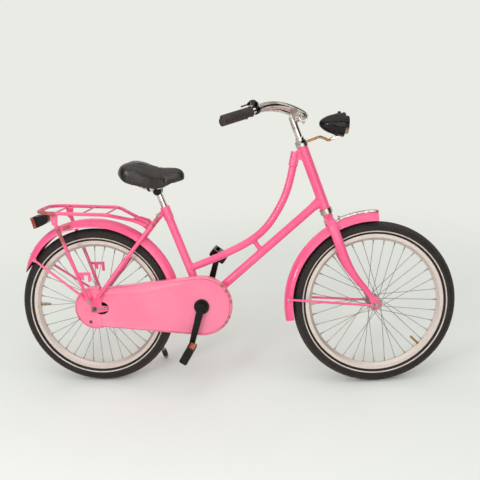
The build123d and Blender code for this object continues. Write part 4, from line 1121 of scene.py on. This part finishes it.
def make_world():
    """Backdrop colour for the camera, and a soft studio sky with dark bands for light and reflections."""
    world = bpy.data.worlds.new("studio")
    bpy.context.scene.world = world
    world.use_nodes = True
    world.node_tree.nodes.clear()
    studio = Nodes(world.node_tree)
    way = studio.node("ShaderNodeTexCoord", output="Generated")
    part = studio.node("ShaderNodeSeparateXYZ", None, {0: way})
    height = part.output("Z") * 0.5 + 0.5
    level = [(0.0, 0.30), (0.40, 0.22), (0.50, 0.30), (0.66, 0.85), (1.0, 1.0)]
    bands = [(0.0, 0.9), (0.14, 0.25), (0.30, 0.12), (0.38, 1.0), (0.46, 1.0), (0.52, 0.10), (0.62, 0.5),
             (0.70, 0.12), (0.84, 0.9), (1.0, 0.4)]
    grey = [[(stop, (shade, shade, shade * 0.985, 1.0)) for stop, shade in row] for row in (level, bands)]
    upward = studio.node("ShaderNodeValToRGB", {"stops": grey[0]}, {"Fac": height})
    across = studio.node("ShaderNodeValToRGB", {"stops": grey[1]}, {"Fac": part.output("X") * 0.5 + 0.5})
    low = 1 - height.between(0.6, 0.8)
    banded = studio.node("ShaderNodeMix", {"data_type": "RGBA", "blend_type": "MULTIPLY"},
                         {0: low * 0.85, 6: upward, 7: across}, output=2)
    sky = studio.node("ShaderNodeBackground", None, {"Color": banded, "Strength": 0.72})
    plain = studio.node("ShaderNodeBackground", None, {"Color": BACKGROUND})
    ray = studio.node("ShaderNodeLightPath", output="Is Camera Ray")
    seen = ray.larger(ray.output("Is Transmission Ray")).larger(ray.output("Is Glossy Ray"))
    both = studio.node("ShaderNodeMixShader", None, {0: seen, 1: sky, 2: plain})
    studio.node("ShaderNodeOutputWorld", None, {"Surface": both})


def make_flags():
    """Dark studio cards off to the sides, seen only by reflections, that give bright plate its streaks."""
    card = Finish("flag", Base_Color="141212", Roughness=1.0, Specular_IOR_Level=0.0).material
    corners = {
        "flag_left": [(-3.4, -2.6, 0.2), (-3.4, 0.6, 0.2), (-3.4, 0.6, 2.6), (-3.4, -2.6, 2.6)],
        "flag_right": [(3.4, -2.6, 0.2), (3.4, 0.6, 0.2), (3.4, 0.6, 2.6), (3.4, -2.6, 2.6)],
        "flag_behind": [(-3.0, 2.8, 0.9), (3.0, 2.8, 0.9), (3.0, 2.8, 2.2), (-3.0, 2.8, 2.2)],
        "flag_above": [(-3.0, -2.3, 3.0), (3.0, -2.3, 3.0), (3.0, -3.2, 2.5), (-3.0, -3.2, 2.5)],
    }
    for name, places in corners.items():
        flag = make_sheet(name, places, card)
        flag.visible_camera = flag.visible_diffuse = flag.visible_transmission = flag.visible_shadow = False


def make_light(name, place, size, power, target=(0.0, 0.0, 0.4)):
    """Soft rectangular lamp at a place, facing a target."""
    lamp = bpy.data.lights.new(name, "AREA")
    lamp.shape, lamp.size, lamp.size_y = "RECTANGLE", size[0], size[1]
    lamp.energy = power
    made = placed(name, lamp)
    made.location = place
    made.rotation_euler = (Vector(target) - Vector(place)).to_track_quat("-Z", "Y").to_euler()


def make_camera():
    """Camera placed in the upright bicycle's frame: a step back from its right side, a little ahead."""
    turn = Vector((0.247047, 0.139254, -0.026864))
    rows = Matrix.Rotation(turn.length, 3, turn) @ Matrix(((1, 0, 0), (0, 0, -1), (0, 1, 0)))
    right, down, forward = (BIKE.way(row) for row in rows)
    data = bpy.data.cameras.new("camera")
    data.lens, data.sensor_width = 65.11, 36.0
    data.shift_x, data.shift_y = 0.0596, 0.1421
    made = placed("camera", data)
    facing = Matrix(np.stack([right, -down, -forward], 1).tolist()).to_4x4()
    made.matrix_world = Matrix.Translation(Vector(BIKE.at((824.018, -2894.33, 713.16)))) @ facing
    bpy.context.scene.camera = made


make_floor()
make_world()
make_flags()
make_light("overhead_softbox", (0.1, -0.6, 2.9), (3.6, 2.6), 20.0, target=(0.0, 0.0, 0.3))
make_light("upper_strip", (0.2, -2.6, 2.3), (2.6, 0.12), 11.0)
make_light("key_softbox", (-1.7, -2.7, 1.5), (0.6, 0.6), 21.0)
make_light("front_fill", (0.9, -3.2, 1.3), (2.6, 1.6), 17.0)
make_light("rear_fill", (-1.4, 2.4, 2.0), (2.0, 1.4), 8.0)
make_camera()
bpy.context.scene.view_settings.view_transform = "Standard"
